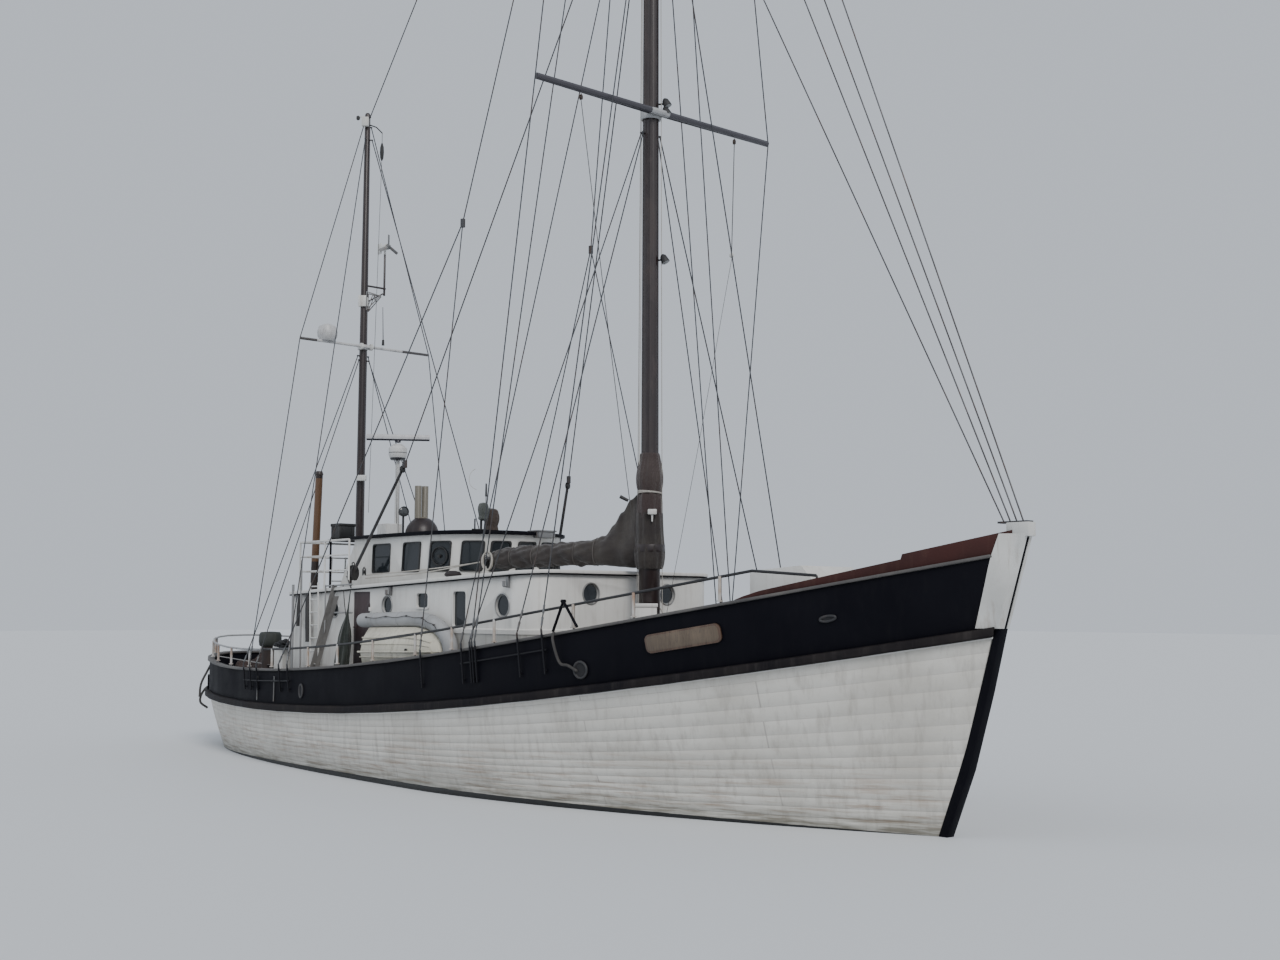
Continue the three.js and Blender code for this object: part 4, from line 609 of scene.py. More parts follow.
def dressed(node):
    copy = bpy.data.objects.new(node + ".dressed", nodes[node].data.copy())
    scene.collection.objects.link(copy)
    copy.matrix_world = nodes[node].matrix_world
    openMesh(copy)
    bpy.ops.mesh.customdata_custom_splitnormals_clear()
    bpy.ops.mesh.remove_doubles(threshold=0.0001)
    bpy.ops.mesh.dissolve_limited(angle_limit=math.radians(1.5))
    if node == "cap_rail":
        bpy.ops.mesh.select_all(action="SELECT")
        bpy.ops.mesh.bisect(plane_co=(plateEdge, 0, 3.8), plane_no=(1, 0, 0.25), use_fill=True,
                            clear_outer=True)
    closeMesh()
    settle(copy)
    width = edges.get(node, edges["default"])
    if slotOf[node] != "rig_steel" and not node.startswith("guard_rail"):
        softened(copy, width, limit=42)
    finished(copy, node + ".dressed", slotOf[node], bodyOf[node], ownFinish.get(node), smooth=46)
    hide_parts(node)
    return copy


for node in nodes:
    if node not in ownPieces:
        dressed(node)
print("frame dressed")

# Hull planking
hull = {
    "stemHalf": 0.075,
    "railLow": 1.03, "railLowX": -6.5, "railRise": 1.69, "railRun": 17.14, "deckEdge": 0.13,
    "topLow": 1.785, "topLowX": -6.8, "topRun": 17.39, "topRise": 1.955, "topAft": 3.8,  # the bulwark's top
    "planksAbove": 15, "planksBelow": 14,
    "stations": 97,
    "groove": 0.004, "grooveWide": 0.07,  # depth in metres, width as a share of a plank
}
levels = [  # height, or share of the way to the deck, half-breadth, ends, where it is widest, fullness
    dict(zip(("from", "at", "half", "aft", "fore", "middle", "bow", "run", "round"), row)) for row in (
        ("water", -1.9, 0.08, -6.3, 7.3, 0, 2, 2, 1),
        ("water", -1.65, 0.56, -6.9, 8.0, 0, 1.3, 1.2, 1),
        ("water", -1.2, 1.5, -7.3, 8.6, 0, 1.35, 1.35, 1),
        ("water", -0.6, 2.33, -8.7, 9.1, 0.2, 1.5, 1.9, 0.95),
        ("water", 0, 2.6, -10.45, 9.47, 0.6, 1.65, 2.3, 0.47),
        ("deck", 0.45, 2.73, -10.74, 9.95, 1.2, 1.85, 2.4, 0.46),
        ("deck", 1, 2.8, -11.0, 10.42, 1.8, 2.05, 2.4, 0.42))
]
topLine = {**levels[6], "aft": -11.02, "fore": 10.76, "middle": 2.0, "bow": 2.1}


def railAt(x):
    return hull["railLow"] + hull["railRise"] * ((x - hull["railLowX"]) / hull["railRun"]) ** 2


def deckSideAt(x):
    return railAt(x) + hull["deckEdge"]


def bulwarkTopAt(x):
    run = abs(x - hull["topLowX"]) / hull["topRun"]
    rises = hull["topRise"] * run ** 1.85 if x > hull["topLowX"] else hull["topAft"] * run ** 2
    return hull["topLow"] + rises


def houseRoofAt(x):
    return 3.57 + 0.038 * x


def halfAt(x, line):
    end, full, ease = ("fore", "bow", 1) if x >= line["middle"] else ("aft", "run", line["round"])
    t = within((x - line["middle"]) / (line[end] - line["middle"]))
    return hull["stemHalf"] + (line["half"] - hull["stemHalf"]) * (1 - t ** line[full]) ** ease


def levelPoint(line, t):
    x = line["aft"] + (line["fore"] - line["aft"]) * (1 - math.cos(math.pi * t)) / 2
    return Vector((x, halfAt(x, line), line["at"] * (deckSideAt(x) if line["from"] == "deck" else 1)))


def sideAt(t, level):  # level runs from 0 at the keel to 6 at the deck's edge
    i = min(int(level), 5)
    points = [levelPoint(levels[min(max(k, 0), 6)], t) for k in (i - 1, i, i + 1, i + 2)]
    if i == 3:
        points[3] = points[2] + (points[2] - points[1])
    if i == 4:
        points[0] = points[1] - (points[2] - points[1]) * 1.2
    return between(*points, level - i)


def addLofted(rings, closed=True, uvAt=None):
    clearSelection()
    columns, across = len(rings), len(rings[0])
    bpy.ops.mesh.primitive_grid_add(x_subdivisions=columns - 1, y_subdivisions=across - 1, size=2)
    skin = bpy.context.object
    uv = skin.data.uv_layers.active.data
    grid = {}
    for vertex in skin.data.vertices:
        i = round((vertex.co.x + 1) / 2 * (columns - 1))
        j = round((vertex.co.y + 1) / 2 * (across - 1))
        grid[vertex.index] = (i, j)
        vertex.co = rings[i][j]
    if uvAt:
        for loop in skin.data.loops:
            uv[loop.index].uv = uvAt(*grid[loop.vertex_index])
    openMesh(skin)
    if closed:
        bpy.ops.mesh.remove_doubles(threshold=0.00005)
        bpy.ops.mesh.fill_holes(sides=0)
    closeMesh(outward=True)
    return skin


def addHull():
    above, below = hull["planksAbove"], hull["planksBelow"]
    rows = []  # level, plank number, depth of the seam
    wide = hull["grooveWide"] / 2
    for k in range(above + below + 1):
        plank = 4 + 2 * (k - below) / above if k >= below else 4 * k / below
        step = (2 / above if k >= below else 4 / below) * wide
        seam = [(plank - step, k - wide, 0), (plank, k, 1), (plank + step, k + wide, 0)]
        rows += seam if 0 < k < above + below else [(plank, k, 0)]
    last = hull["stations"] - 1
    rings = []
    for i in range(last + 1):
        ring = []
        for level, _, deep in rows:
            point = sideAt(i / last, level)
            point.y = max(point.y - hull["groove"] * deep, 0.02) if 0 < i < last else 0
            ring.append(point)
        crown = ring[-1] + Vector((0, -ring[-1].y, 0.02))
        other = [Vector((p.x, -p.y, p.z)) for p in ring]
        rings.append([crown, *reversed(ring), *other, crown])
    numbers = [above + below, *[row[1] for row in reversed(rows)], *[row[1] for row in rows], above + below]
    planks = addLofted(rings, uvAt=lambda i, j: (rings[i][j].x, numbers[j]))
    finished(planks, "hull_planks", "hull_paint", smooth=60)
    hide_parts("hull")


addHull()
print("hull planked")

# Trim along the hull's side
trim = {
    "strip": [(-0.01, -0.008), (0.093, 0.012), (0.093, 0.068), (-0.01, 0.068)],  # out and up from the rail
    "bowPlate": {"thick": 0.006, "foot": 10.23, "head": 10.6, "band": 0.03, "rows": 8, "columns": 12},
    "board": {"x": 6.56, "down": 0.358, "long": 1.24, "high": 0.275, "corner": 0.085, "thick": 0.035},
}


def edgeRun(line, heightAt, steps=64):
    half = []
    for i in range(steps + 1):
        x = line["aft"] + (line["fore"] - line["aft"]) * (1 - math.cos(math.pi * i / steps)) / 2
        half.append(Vector((x, halfAt(x, line), heightAt(x))))
    starboard = [Vector((p.x, -p.y, p.z)) for p in reversed(half)]
    return starboard + half


def sweptBand(path, section):
    rings = []
    for i, point in enumerate(path):
        along = alongAt(path, i)
        out = Vector((along.y, -along.x, 0)).normalized()
        ring = [point + out * a + rise(b) for a, b in section]
        rings.append([*ring, ring[0]])
    return addLofted(rings)


strip = sweptBand(edgeRun(levels[6], railAt)[1:-1], trim["strip"])
finished(strip, "strake_lower_strip", "hull_paint", finish=paints["white_paint"])


def bulwarkFace(x, z, side, proud=0.0):
    foot = deckSideAt(x) - 0.06
    share = within((z - foot) / (bulwarkTopAt(x) - foot))
    half = halfAt(x, levels[6]) * (1 - share) + halfAt(x, topLine) * share
    return Vector((x, side * (half + proud), z))


def bulwarkFrame(x, z, side, proud=0.0):
    here = bulwarkFace(x, z, side, proud)
    along = (here - bulwarkFace(x + 0.05, z + 0.05 * slopeAt(x), side, proud)).normalized() * side
    up = (bulwarkFace(x, z + 0.05, side, proud) - here).normalized()
    out = along.cross(up).normalized()
    up = out.cross(along).normalized()
    return basis(along, up, out, here)


def slopeAt(x):
    return (bulwarkTopAt(x + 0.1) - bulwarkTopAt(x - 0.1)) / 0.2


def stemAt(z):
    return 10.53 + (z - 2.78) / 1.4 * 0.445 - 0.015 if z > 2.78 else 10.31 + (z - 1.96) / 0.82 * 0.22


def addBowPlate(side):
    p = trim["bowPlate"]
    rows = []
    for j in range(p["rows"] + 1):
        share = j / p["rows"]
        low, high = deckSideAt(p["foot"]) + 0.03, 4.04
        z = low + (high - low) * share
        start = p["foot"] + (p["head"] - p["foot"]) * share
        end = stemAt(z) - 0.012
        row = []
        for i in range(p["columns"] + 1):
            x = start + (end - start) * i / p["columns"]
            base = bulwarkFace(x, z, side, p["thick"] + 0.004)
            base.y = side * max(abs(base.y), 0.081)
            row.append(base)
        fore = stemAt(z) + 0.022
        row += [Vector((fore, side * 0.081, z)), Vector((fore + 0.002, side * p["band"], z))]
        rows.append(row)
    plate = addLofted(rows, closed=False)
    apply(plate, "SOLIDIFY", thickness=0.01, offset=0)
    faceOut(plate)
    return plate


finished([addBowPlate(-1), addBowPlate(1)], "bow_plates", "white_metal", smooth=30)


def roundedRect(wide, high, radius, steps=6):
    points = []
    for corner, (sx, sy) in enumerate(((1, 1), (-1, 1), (-1, -1), (1, -1))):
        for k in range(steps + 1):
            turn = math.radians(90 * (corner + k / steps))
            points.append((sx * (wide / 2 - radius) + radius * math.cos(turn),
                           sy * (high / 2 - radius) + radius * math.sin(turn)))
    return points


def addNameBoard(side):
    p = trim["board"]
    board = addOutline(roundedRect(p["long"], p["high"], p["corner"]), p["thick"], 0.01)
    field = addOutline(roundedRect(p["long"] - 0.07, p["high"] - 0.06, p["corner"] - 0.025), 0.01, 0.003)
    z = bulwarkTopAt(p["x"]) - p["down"]
    moved(board, bulwarkFrame(p["x"], z, side, 0.015))
    moved(field, bulwarkFrame(p["x"], z, side, 0.032))
    return board, field


boards = [addNameBoard(side) for side in (-1, 1)]
finished([b for b, _ in boards], "name_boards", "varnish")
finished([f for _, f in boards], "name_board_fields", "varnish", finish=sparFinish(
    "oliveBoard", (0.105, 0.075, 0.048), (0.075, 0.053, 0.035), (0.15, 0.115, 0.08), 0.55))
print("hull trimmed")

# Windows, portholes and their glass
glass, tree, shader = newFinish("glass", 0.06, Transmission_Weight=0.25, IOR=1.45)
haze = noise(tree, objectPlace(tree), 2.3, 4)
coated(tree, shader, layer(tree, (0.030, 0.038, 0.045), (0.016, 0.020, 0.024), haze),
       spread(tree, haze, 0.3, 0.7, 0.04, 0.12))
rubber = weathered("blackRubber", (0.014, 0.014, 0.015), (0.024, 0.024, 0.025), (0.05, 0.048, 0.045), 0.6)

wheelhouse = {
    "low": 3.74, "high": 4.27, "lean": 0.16, "aft": -3.6, "front": 0.0, "base": 3.57,
    "windows": [  # middle on the wall's face, degrees of turn, width
        (-2.62, -1.45, -90, 0.62), (-1.60, -1.45, -90, 0.56), (-0.84, -1.33, -68, 0.44),
        (-0.31, -0.985, -45, 0.40), (-0.065, -0.535, -12, 0.37), (0.0, 0.0, 0, 0.38),
    ],
    "rim": 0.022, "inner": 0.075, "outer": 0.05,
}


def addWindowFrame(wide, high, rim, inner, outer, deep):
    frameRing = addOutline(roundedRect(wide + 2 * rim, high + 2 * rim, outer), deep)
    hole = addOutline(roundedRect(wide, high, inner), deep * 3)
    apply(frameRing, "BOOLEAN", object=hole, operation="DIFFERENCE", solver="EXACT")
    bpy.data.objects.remove(hole)
    return softened(frameRing, 0.004, segments=1, limit=50)


def facing(origin, out, up=(0, 0, 1)):
    out, up = Vector(out).normalized(), Vector(up)
    along = rise(1).cross(out).normalized()
    return basis(along, up, out, origin)


def wheelWindowPlace(x, y, turn):
    p = wheelhouse
    share = within((x - p["aft"]) / (p["front"] - p["aft"]))
    z = (p["low"] + p["high"]) / 2
    slope = share * p["lean"]
    out = (math.cos(math.radians(turn)), math.sin(math.radians(turn)), 0)
    return (x + (z - p["base"]) * slope, y, z), out, (slope, 0, 1)


gaskets, panes = [], []
for x, y, turn, wide in wheelhouse["windows"]:
    for side in ((1, -1) if y else (1,)):
        origin, out, up = wheelWindowPlace(x, side * y, side * turn)
        high = wheelhouse["high"] - wheelhouse["low"]
        ring = addWindowFrame(wide - 0.012, high - 0.012, wheelhouse["rim"], wheelhouse["inner"],
                              wheelhouse["outer"], 0.05)
        gaskets.append(moved(ring, facing(origin, out, up) @ Matrix.Translation((0, 0, -0.014))))
        pane = addOutline(roundedRect(wide, high, wheelhouse["inner"]), 0.008)
        panes.append(moved(pane, facing(origin, out, up) @ Matrix.Translation((0, 0, -0.022))))
finished(gaskets, "wheelhouse_gaskets", "black_paint", finish=rubber)
finished(panes, "wheelhouse_glass", "white_paint", finish=glass)

clearView = {"window": (-0.84, -1.33, -68), "radius": 0.165}
origin, out, up = wheelWindowPlace(*clearView["window"])
spot = Vector(origin) + Vector(out) * 0.006
screen = [
    addRing(spot, out, clearView["radius"], 0.013, 40),
    addRing(spot, out, clearView["radius"] - 0.03, 0.004, 40, 6),
    addRod(spot - Vector(out) * 0.02, spot + Vector(out) * 0.03, 0.035, 0.028, 16),
]
finished(screen, "clear_view_screen", "black_paint", finish=rubber)

house = {
    "half": 2.05, "front": 3.0, "aft": -4.9, "corner": 0.55,
    "ports": [(-3.27, 3.03, 0.15), (-1.39, 3.11, 0.165), (2.17, 3.10, 0.19)],  # along, height, radius
    "windows": [(-0.22, 3.19, 0.38, 0.27), (0.935, 3.04, 0.40, 0.62)],
    "frontPorts": [(-0.85, 3.3, 0.17), (0.85, 3.3, 0.17)],
    "ledge": 2.67,
}
portRings, portPanes, houseFrames = [], [], []


def addPort(place, out, radius):
    out = Vector(out)
    portRings.append(addRing(Vector(place) + out * 0.002, out, radius + 0.006, 0.014, 36))
    portRings.append(addRing(Vector(place) - out * 0.035, out, radius - 0.012, 0.012, 36))
    pane = addOutline(roundedRect(2 * radius, 2 * radius, radius, 8), 0.01)
    portPanes.append(moved(pane, facing(Vector(place) - out * 0.036, out)))


for side in (-1, 1):
    for x, z, radius in house["ports"]:
        addPort((x, side * house["half"], z), (0, side, 0), radius)
    for x, z, wide, high in house["windows"]:
        spot = facing((x, side * house["half"], z), (0, side, 0))
        ring = addWindowFrame(wide - 0.02, high - 0.02, 0.035, 0.06, 0.05, 0.07)
        houseFrames.append(moved(ring, spot @ Matrix.Translation((0, 0, -0.02))))
        pane = addOutline(roundedRect(wide, high, 0.06), 0.008)
        portPanes.append(moved(pane, spot @ Matrix.Translation((0, 0, -0.035))))
for y, z, radius in house["frontPorts"]:
    addPort((house["front"], y, z), (1, 0, 0), radius)
finished(portRings, "porthole_rings", "white_metal", finish=weathered(
    "portRim", (0.36, 0.365, 0.37), (0.22, 0.22, 0.215), (0.10, 0.08, 0.06), 0.4, 0.3, streak=0.5))
finished(portPanes, "deckhouse_glass", "white_paint", finish=glass)
finished(houseFrames, "deckhouse_window_frames", "white_paint")


def houseRun(inset, start, heightAt):
    half, front, radius = house["half"] - inset, house["front"] - inset, house["corner"] - inset
    points = [(start, -half)]
    for side in (-1, 1):
        for k in range(9):
            turn = math.radians(90) * (k if side < 0 else 8 - k) / 8
            points.append((front - radius + radius * math.sin(turn),
                           side * (half - radius + radius * math.cos(turn))))
    points.append((start, half))
    dense = []
    for (x0, y0), (x1, y1) in zip(points, points[1:]):
        cuts = max(1, round(math.hypot(x1 - x0, y1 - y0) / 0.8))
        dense += [(x0 + (x1 - x0) * k / cuts, y0 + (y1 - y0) * k / cuts) for k in range(cuts)]
    return [Vector((x, y, heightAt(x))) for x, y in [*dense, points[-1]]]


ledgeSection = [(0.0, -0.045), (0.03, -0.04), (0.034, 0.03), (0.0, 0.05)]
ledge = sweptBand(houseRun(0, -1.93, lambda x: house["ledge"]), ledgeSection)
cladding = sweptBand(
    houseRun(0, -1.93, lambda x: deckSideAt(x)), [(-0.01, -0.1), (0.016, -0.1), (0.016, 0.9), (-0.01, 0.9)])
for vertex in cladding.data.vertices:
    if vertex.co.z > deckSideAt(vertex.co.x) + 0.5:
        vertex.co.z = house["ledge"] - 0.02
finished(ledge, "deckhouse_ledge", "white_paint")
finished(cladding, "deckhouse_cladding", "white_paint", finish=weathered(
    "greyedWhite", (0.46, 0.455, 0.43), (0.38, 0.375, 0.35), (0.20, 0.175, 0.145), 0.5, streak=0.6))
# a black strip under the roof's overhang: partly a dark moulding, partly painted shade under the overhang
roofLineAndShade = sweptBand(
    houseRun(-0.07, -4.97, lambda x: houseRoofAt(x) - 0.06),
    [(-0.06, -0.022), (-0.012, -0.022), (-0.012, 0.002), (-0.06, 0.002)])
finished(roofLineAndShade, "roof_edge_line_and_shade", "black_paint")
print("windows fitted")

# Sail, stowed along the boom and up to the mast
mastX = 3.5
boomAt = {"turn": math.radians(19.7), "z": 4.06, "drop": 0.14, "long": 3.26}


def alongBoom(distance, aside, up):
    b = boomAt
    c, s = math.cos(b["turn"]), math.sin(b["turn"])
    z = b["z"] - b["drop"] * distance / b["long"] + up
    return Vector((mastX - distance * c - aside * s, -distance * s + aside * c, z))


sail = {
    "sections": [  # distance from the mast, half-width, lowest, highest, share of width kept at the top
        (0.16, 0.17, -0.30, 0.98, 0.55), (0.36, 0.16, -0.30, 0.86, 0.40), (0.52, 0.15, -0.28, 0.66, 0.35),
        (0.68, 0.15, -0.26, 0.43, 0.45), (0.86, 0.16, -0.24, 0.27, 0.75), (1.15, 0.175, -0.22, 0.215, 1.0),
        (1.7, 0.18, -0.20, 0.20, 1.0), (2.3, 0.185, -0.19, 0.195, 1.0), (2.95, 0.18, -0.19, 0.185, 1.0),
        (3.14, 0.14, -0.15, 0.14, 1.0), (3.2, 0.05, -0.06, 0.05, 1.0),
    ],
    "ties": (1.02, 1.42, 1.86, 2.26, 2.72, 3.06),
    "pinch": 0.075,
    "around": 44,
    "steps": 110,
}


def sailSection(distance):
    rows = sail["sections"]
    for (d0, *low), (d1, *high) in zip(rows, rows[1:]):
        if distance <= d1:
            s = within((distance - d0) / (d1 - d0))
            s = s * s * (3 - 2 * s) if d1 - d0 < 0.7 else s
            return [a + (b - a) * s for a, b in zip(low, high)]
    return rows[-1][1:]


def sailPoint(distance, turn, proud=0.0):
    wide, low, high, keep = sailSection(distance)
    up = math.sin(turn)
    across = math.cos(turn)
    tie = max(math.exp(-((distance - t) / 0.045) ** 2) for t in sail["ties"])
    loose = within((distance - 0.8) / 0.4)
    swell = 1 - sail["pinch"] * tie * loose
    fold = 0.05 * math.sin(5 * turn + 7.3 * distance) + 0.045 * math.sin(9 * turn - 12.7 * distance + 1.3)
    fold += 0.035 * math.sin(3 * turn + 23 * distance) + 0.04 * math.sin(17 * distance + 2 * turn)
    fold += 0.03 * math.sin(13 * turn + 31 * distance + 2 * math.sin(5 * distance))
    swell *= 1 + fold * (0.35 + 0.65 * loose) * (1 - 0.6 * tie)
    height = (high if up > 0 else -low) * up
    narrow = 1 - (1 - keep) * max(up, 0) ** 0.8
    crease = 0.012 * math.sin(14 * distance + 5.5 * height) * (1 - loose)
    return alongBoom(distance, (wide * narrow * swell + proud) * across + crease, height * swell + proud * up)


def addSail():
    first, last = sail["sections"][0][0], sail["sections"][-1][0]
    rings = []
    for i in range(sail["steps"] + 1):
        distance = first + (last - first) * i / sail["steps"]
        ring = [sailPoint(distance, fullTurn * k / sail["around"]) for k in range(sail["around"])]
        rings.append([*ring, ring[0]])
    bundle = addLofted(rings)
    return rounded(bundle)


def addWrap(profile, around, foldAt, least=0.0):  # cloth gathered round the mast
    rings = []
    for radius, z in profile:
        turns = [fullTurn * k / around for k in range(around + 1)]
        reach = [max(radius * foldAt(turn, z), least) for turn in turns]
        rings.append([Vector((mastX + r * math.cos(turn), r * math.sin(turn), z))
                      for r, turn in zip(reach, turns)])
    wrap = addLofted(rings, closed=False)
    faceOut(wrap, 0.00005)
    apply(wrap, "SOLIDIFY", thickness=0.008, offset=-1)
    return rounded(wrap)


def skirtFold(turn, z):
    return 1 + 0.035 * math.sin(11 * turn + 3 * z) + 0.02 * math.sin(23 * turn - 5 * z)


def luffFold(turn, z):
    return 1 + (0.03 if z > 5 else 0.045) * math.sin(8 * turn + 2.5 * z) + 0.02 * math.sin(19 * turn - 6 * z)


wraps = {  # radius and height up the mast
    "skirt": [(0.215, 3.71), (0.242, 3.8), (0.258, 3.92), (0.258, 4.05), (0.236, 4.2), (0.227, 4.42),
              (0.225, 4.66)],
    "luff": [(0.170, 4.16), (0.212, 4.2), (0.218, 4.55), (0.214, 4.86), (0.196, 4.96), (0.19, 4.99),
             (0.2, 5.03), (0.222, 5.12), (0.228, 5.24), (0.212, 5.38), (0.186, 5.5), (0.17, 5.6),
             (0.158, 5.66)],
    "luffRope": 4.99, "mastSkin": 0.155,
}
sailCloth = clothFinish("sailCloth", (0.027, 0.021, 0.020), (0.054, 0.046, 0.038), 0.006)
stowedSail = finished(addSail(), "stowed_sail.cloth", "canvas", "boom", sailCloth, 70)
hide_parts("stowed_sail")
skirt = finished(addWrap(wraps["skirt"], 64, skirtFold), "mast_skirt", "canvas", "boom", sailCloth, 70)
ties = []
for distance in sail["ties"]:
    loop = [sailPoint(distance, fullTurn * k / 14, 0.006) for k in range(14)]
    ties.append(addHose(loop, 0.009, 3, 2, cyclic=True))
finished(ties, "sail_ties", "canvas", "boom", weathered(
    "tieRope", (0.10, 0.09, 0.085), (0.06, 0.054, 0.05), (0.03, 0.028, 0.026), 0.85, grain=160), 70)

luffCloth = clothFinish("luffCloth", (0.042, 0.026, 0.025), (0.066, 0.050, 0.045), 0.005)
luffCover = finished(
    addWrap(wraps["luff"], 72, luffFold, wraps["mastSkin"]), "luff_cover.cloth", "canvas", "vessel",
    luffCloth, 70)
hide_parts("luff_cover")
paleRope = weathered("paleRope", (0.46, 0.44, 0.40), (0.34, 0.32, 0.29), (0.18, 0.16, 0.14), 0.85, grain=140,
                     bump=0.5)
darkRope = weathered("darkRope", (0.055, 0.052, 0.05), (0.035, 0.033, 0.032), (0.10, 0.09, 0.08), 0.85,
                     grain=140, bump=0.5)
lashing = [addRing((mastX, 0, wraps["luffRope"] + k * 0.016), (0.05 * k, 0.08, 1), 0.205, 0.009, 40, 6)
           for k in (-1, 0, 1)]
finished(lashing, "luff_lashing", "canvas", finish=paleRope, smooth=70)
print("sail stowed")

# Tender's inflatable collar, with its seams and grab line, and the mouldings and drain on the tender's side
collar = {
    "aft": -1.95, "fore": 0.93, "low": 1.69, "high": 2.83, "bow": 1.2, "round": 2.2, "inner": -2.22,
    "radius": 0.134, "rise": 0.02, "around": 28,
}


def collarPath():
    c = collar
    middle, beam = (c["low"] + c["high"]) / 2, (c["high"] - c["low"]) / 2

    def lift(x):
        return middle + (x - c["aft"]) * c["rise"]

    start = c["fore"] - c["bow"]
    side = [c["aft"] + (start - c["aft"]) * k / 10 for k in range(10)]
    top = [Vector((x, c["inner"], lift(x) + beam)) for x in side]
    bow = []
    for k in range(33):
        turn = math.pi * k / 32
        x = start + math.sin(turn) ** (2 / c["round"]) * c["bow"]
        bow.append(Vector((x, c["inner"], lift(x) + beam * math.cos(turn))))
    low = [Vector((x, c["inner"], lift(x) - beam)) for x in reversed(side)]
    return top + bow + low


def collarRings(radiusAt, path):
    rings = []
    out = Vector((0, -1, 0))
    for i, point in enumerate(path):
        along = alongAt(path, i).normalized()
        across = along.cross(out).normalized()
        r = radiusAt(i)
        turns = [fullTurn * k / collar["around"] for k in range(collar["around"])]
        ring = [point + across * r * math.cos(turn) + out * r * math.sin(turn) for turn in turns]
        rings.append([*ring, ring[0]])
    return rings


def addCollar():
    path = collarPath()
    along = (path[0] - path[1]).normalized()
    ends = [(0.05, 0.045), (0.044, 0.085), (0.026, 0.118)]
    path = [path[0] + along * d for d, _ in ends] + path + [path[-1] + along * d for d, _ in reversed(ends)]
    r = collar["radius"]
    last = len(path) - 1
    caps = {i: radius for i, (_, radius) in enumerate(ends)}
    caps |= {last - i: radius for i, radius in caps.items()}
    tube = addLofted(collarRings(lambda i: caps.get(i, r * (1 - 0.006 * math.sin(i * 1.7) ** 2)), path))
    return rounded(tube)


tube = finished(addCollar(), "tender_collar.tube", "collar_grey", smooth=70)
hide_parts("tender_collar")
path = collarPath()
bands = []
for i in (3, 8, 15, 26, 35, 46, 50):
    bands.append(addRing(path[i], alongAt(path, i), collar["radius"], 0.0035, 40, 6))
finished(bands, "tender_collar_seams", "collar_grey", finish=weathered(
    "seamGrey", (0.25, 0.255, 0.26), (0.20, 0.205, 0.21), (0.13, 0.12, 0.11), 0.6), smooth=60)
grabPoints = [path[i] + Vector((0, -0.137, 0.055) if i % 4 == 2 else (0, -0.149, 0.03))
              for i in range(2, 22, 2)]
grabLine = addHose(grabPoints, 0.006, 5, 2)
eyes = [addRod(p + Vector((-0.02, 0.006, 0)), p + Vector((0.02, 0.006, 0)), 0.014, 0.014, 10)
        for p in grabPoints[::2]]
finished([grabLine, *eyes], "tender_grab_line", "collar_grey", finish=darkRope, smooth=60)


def tenderSkin(x, up, proud=0.0):  # a place on the tender's outer side; up is -1 to 1
    c = collar
    middle, beam = (c["low"] + c["high"]) / 2, (c["high"] - c["low"]) / 2 - 0.11
    t = within((x - (c["fore"] - c["bow"])) / (c["bow"] - 0.11))
    half = beam * math.sqrt(max(0.0, 1 - t ** c["round"]))
    deep = (1 - 0.55 * within(x / c["fore"]) ** 2) * 0.41
    table = [(0, 1), (0.55, 0.82), (0.93, 0.45), (1, 0)]
    share = 0
    for (a, da), (b, db) in zip(table, table[1:]):
        if a <= abs(up) <= b:
            share = da + (db - da) * (abs(up) - a) / (b - a)
    return Vector((x, -2.15 - deep * share - proud, middle + (x - c["aft"]) * c["rise"] + up * half))


mouldings = []
for up, r in ((0.30, 0.012), (0.55, 0.014), (-0.2, 0.011), (-0.55, 0.014)):
    run = [tenderSkin(-1.5 + 2.1 * k / 12, up, 0.002) for k in range(13)]
    mouldings.append(addHose(run, r, 2, 2))
mouldings.append(addHose([tenderSkin(-1.52 + 2.2 * k / 12, 0, 0.004) for k in range(13)], 0.02, 2, 2))
finished(mouldings, "tender_mouldings", "gelcoat", smooth=60)
drain = tenderSkin(0.05, 0.05, 0.0)
finished([addRing(drain + Vector((0, -0.004, 0)), (0, 1, 0), 0.032, 0.007, 24, 6),
          addRod(drain + Vector((0, 0.01, 0)), drain + Vector((0, -0.004, 0)), 0.03, 0.03, 20)],
         "tender_drain", "rig_steel", finish=rubber)
print("tender fitted")

# Fittings on the masts
def fromMast(across, toward, z, x=mastX):  # a place beside a mast, across the picture and toward the camera
    ahead, aport, _ = pictureRight
    return Vector((x + ahead * across + aport * toward, aport * across - ahead * toward, z))


def addFloodlight(place, aim, radius):
    aim = Vector(aim).normalized()
    shell = [(radius * 0.35, -0.10), (radius * 0.8, -0.06), (radius, 0.02), (radius * 1.03, 0.05)]
    lamp = [(radius * 0.93, 0.0), (radius * 0.6, 0.02), (radius * 0.1, 0.028)]
    return addTurned(shell, place, 20, aim), addTurned(lamp, place + aim * 0.045, 20, aim)


def addBoxed(place, wide, deep, high, soften=0.008):  # a box turned to face the camera
    half = Vector((wide, deep, high)) / 2
    return addBlock(place - half, place + half, soften, math.radians(view["heading"]))


def addLine(start, end, radius, sag=0.0):
    start, end = Vector(start), Vector(end)
    return addHose([start, (start + end) / 2 - rise(sag), end], radius, 6, 2)


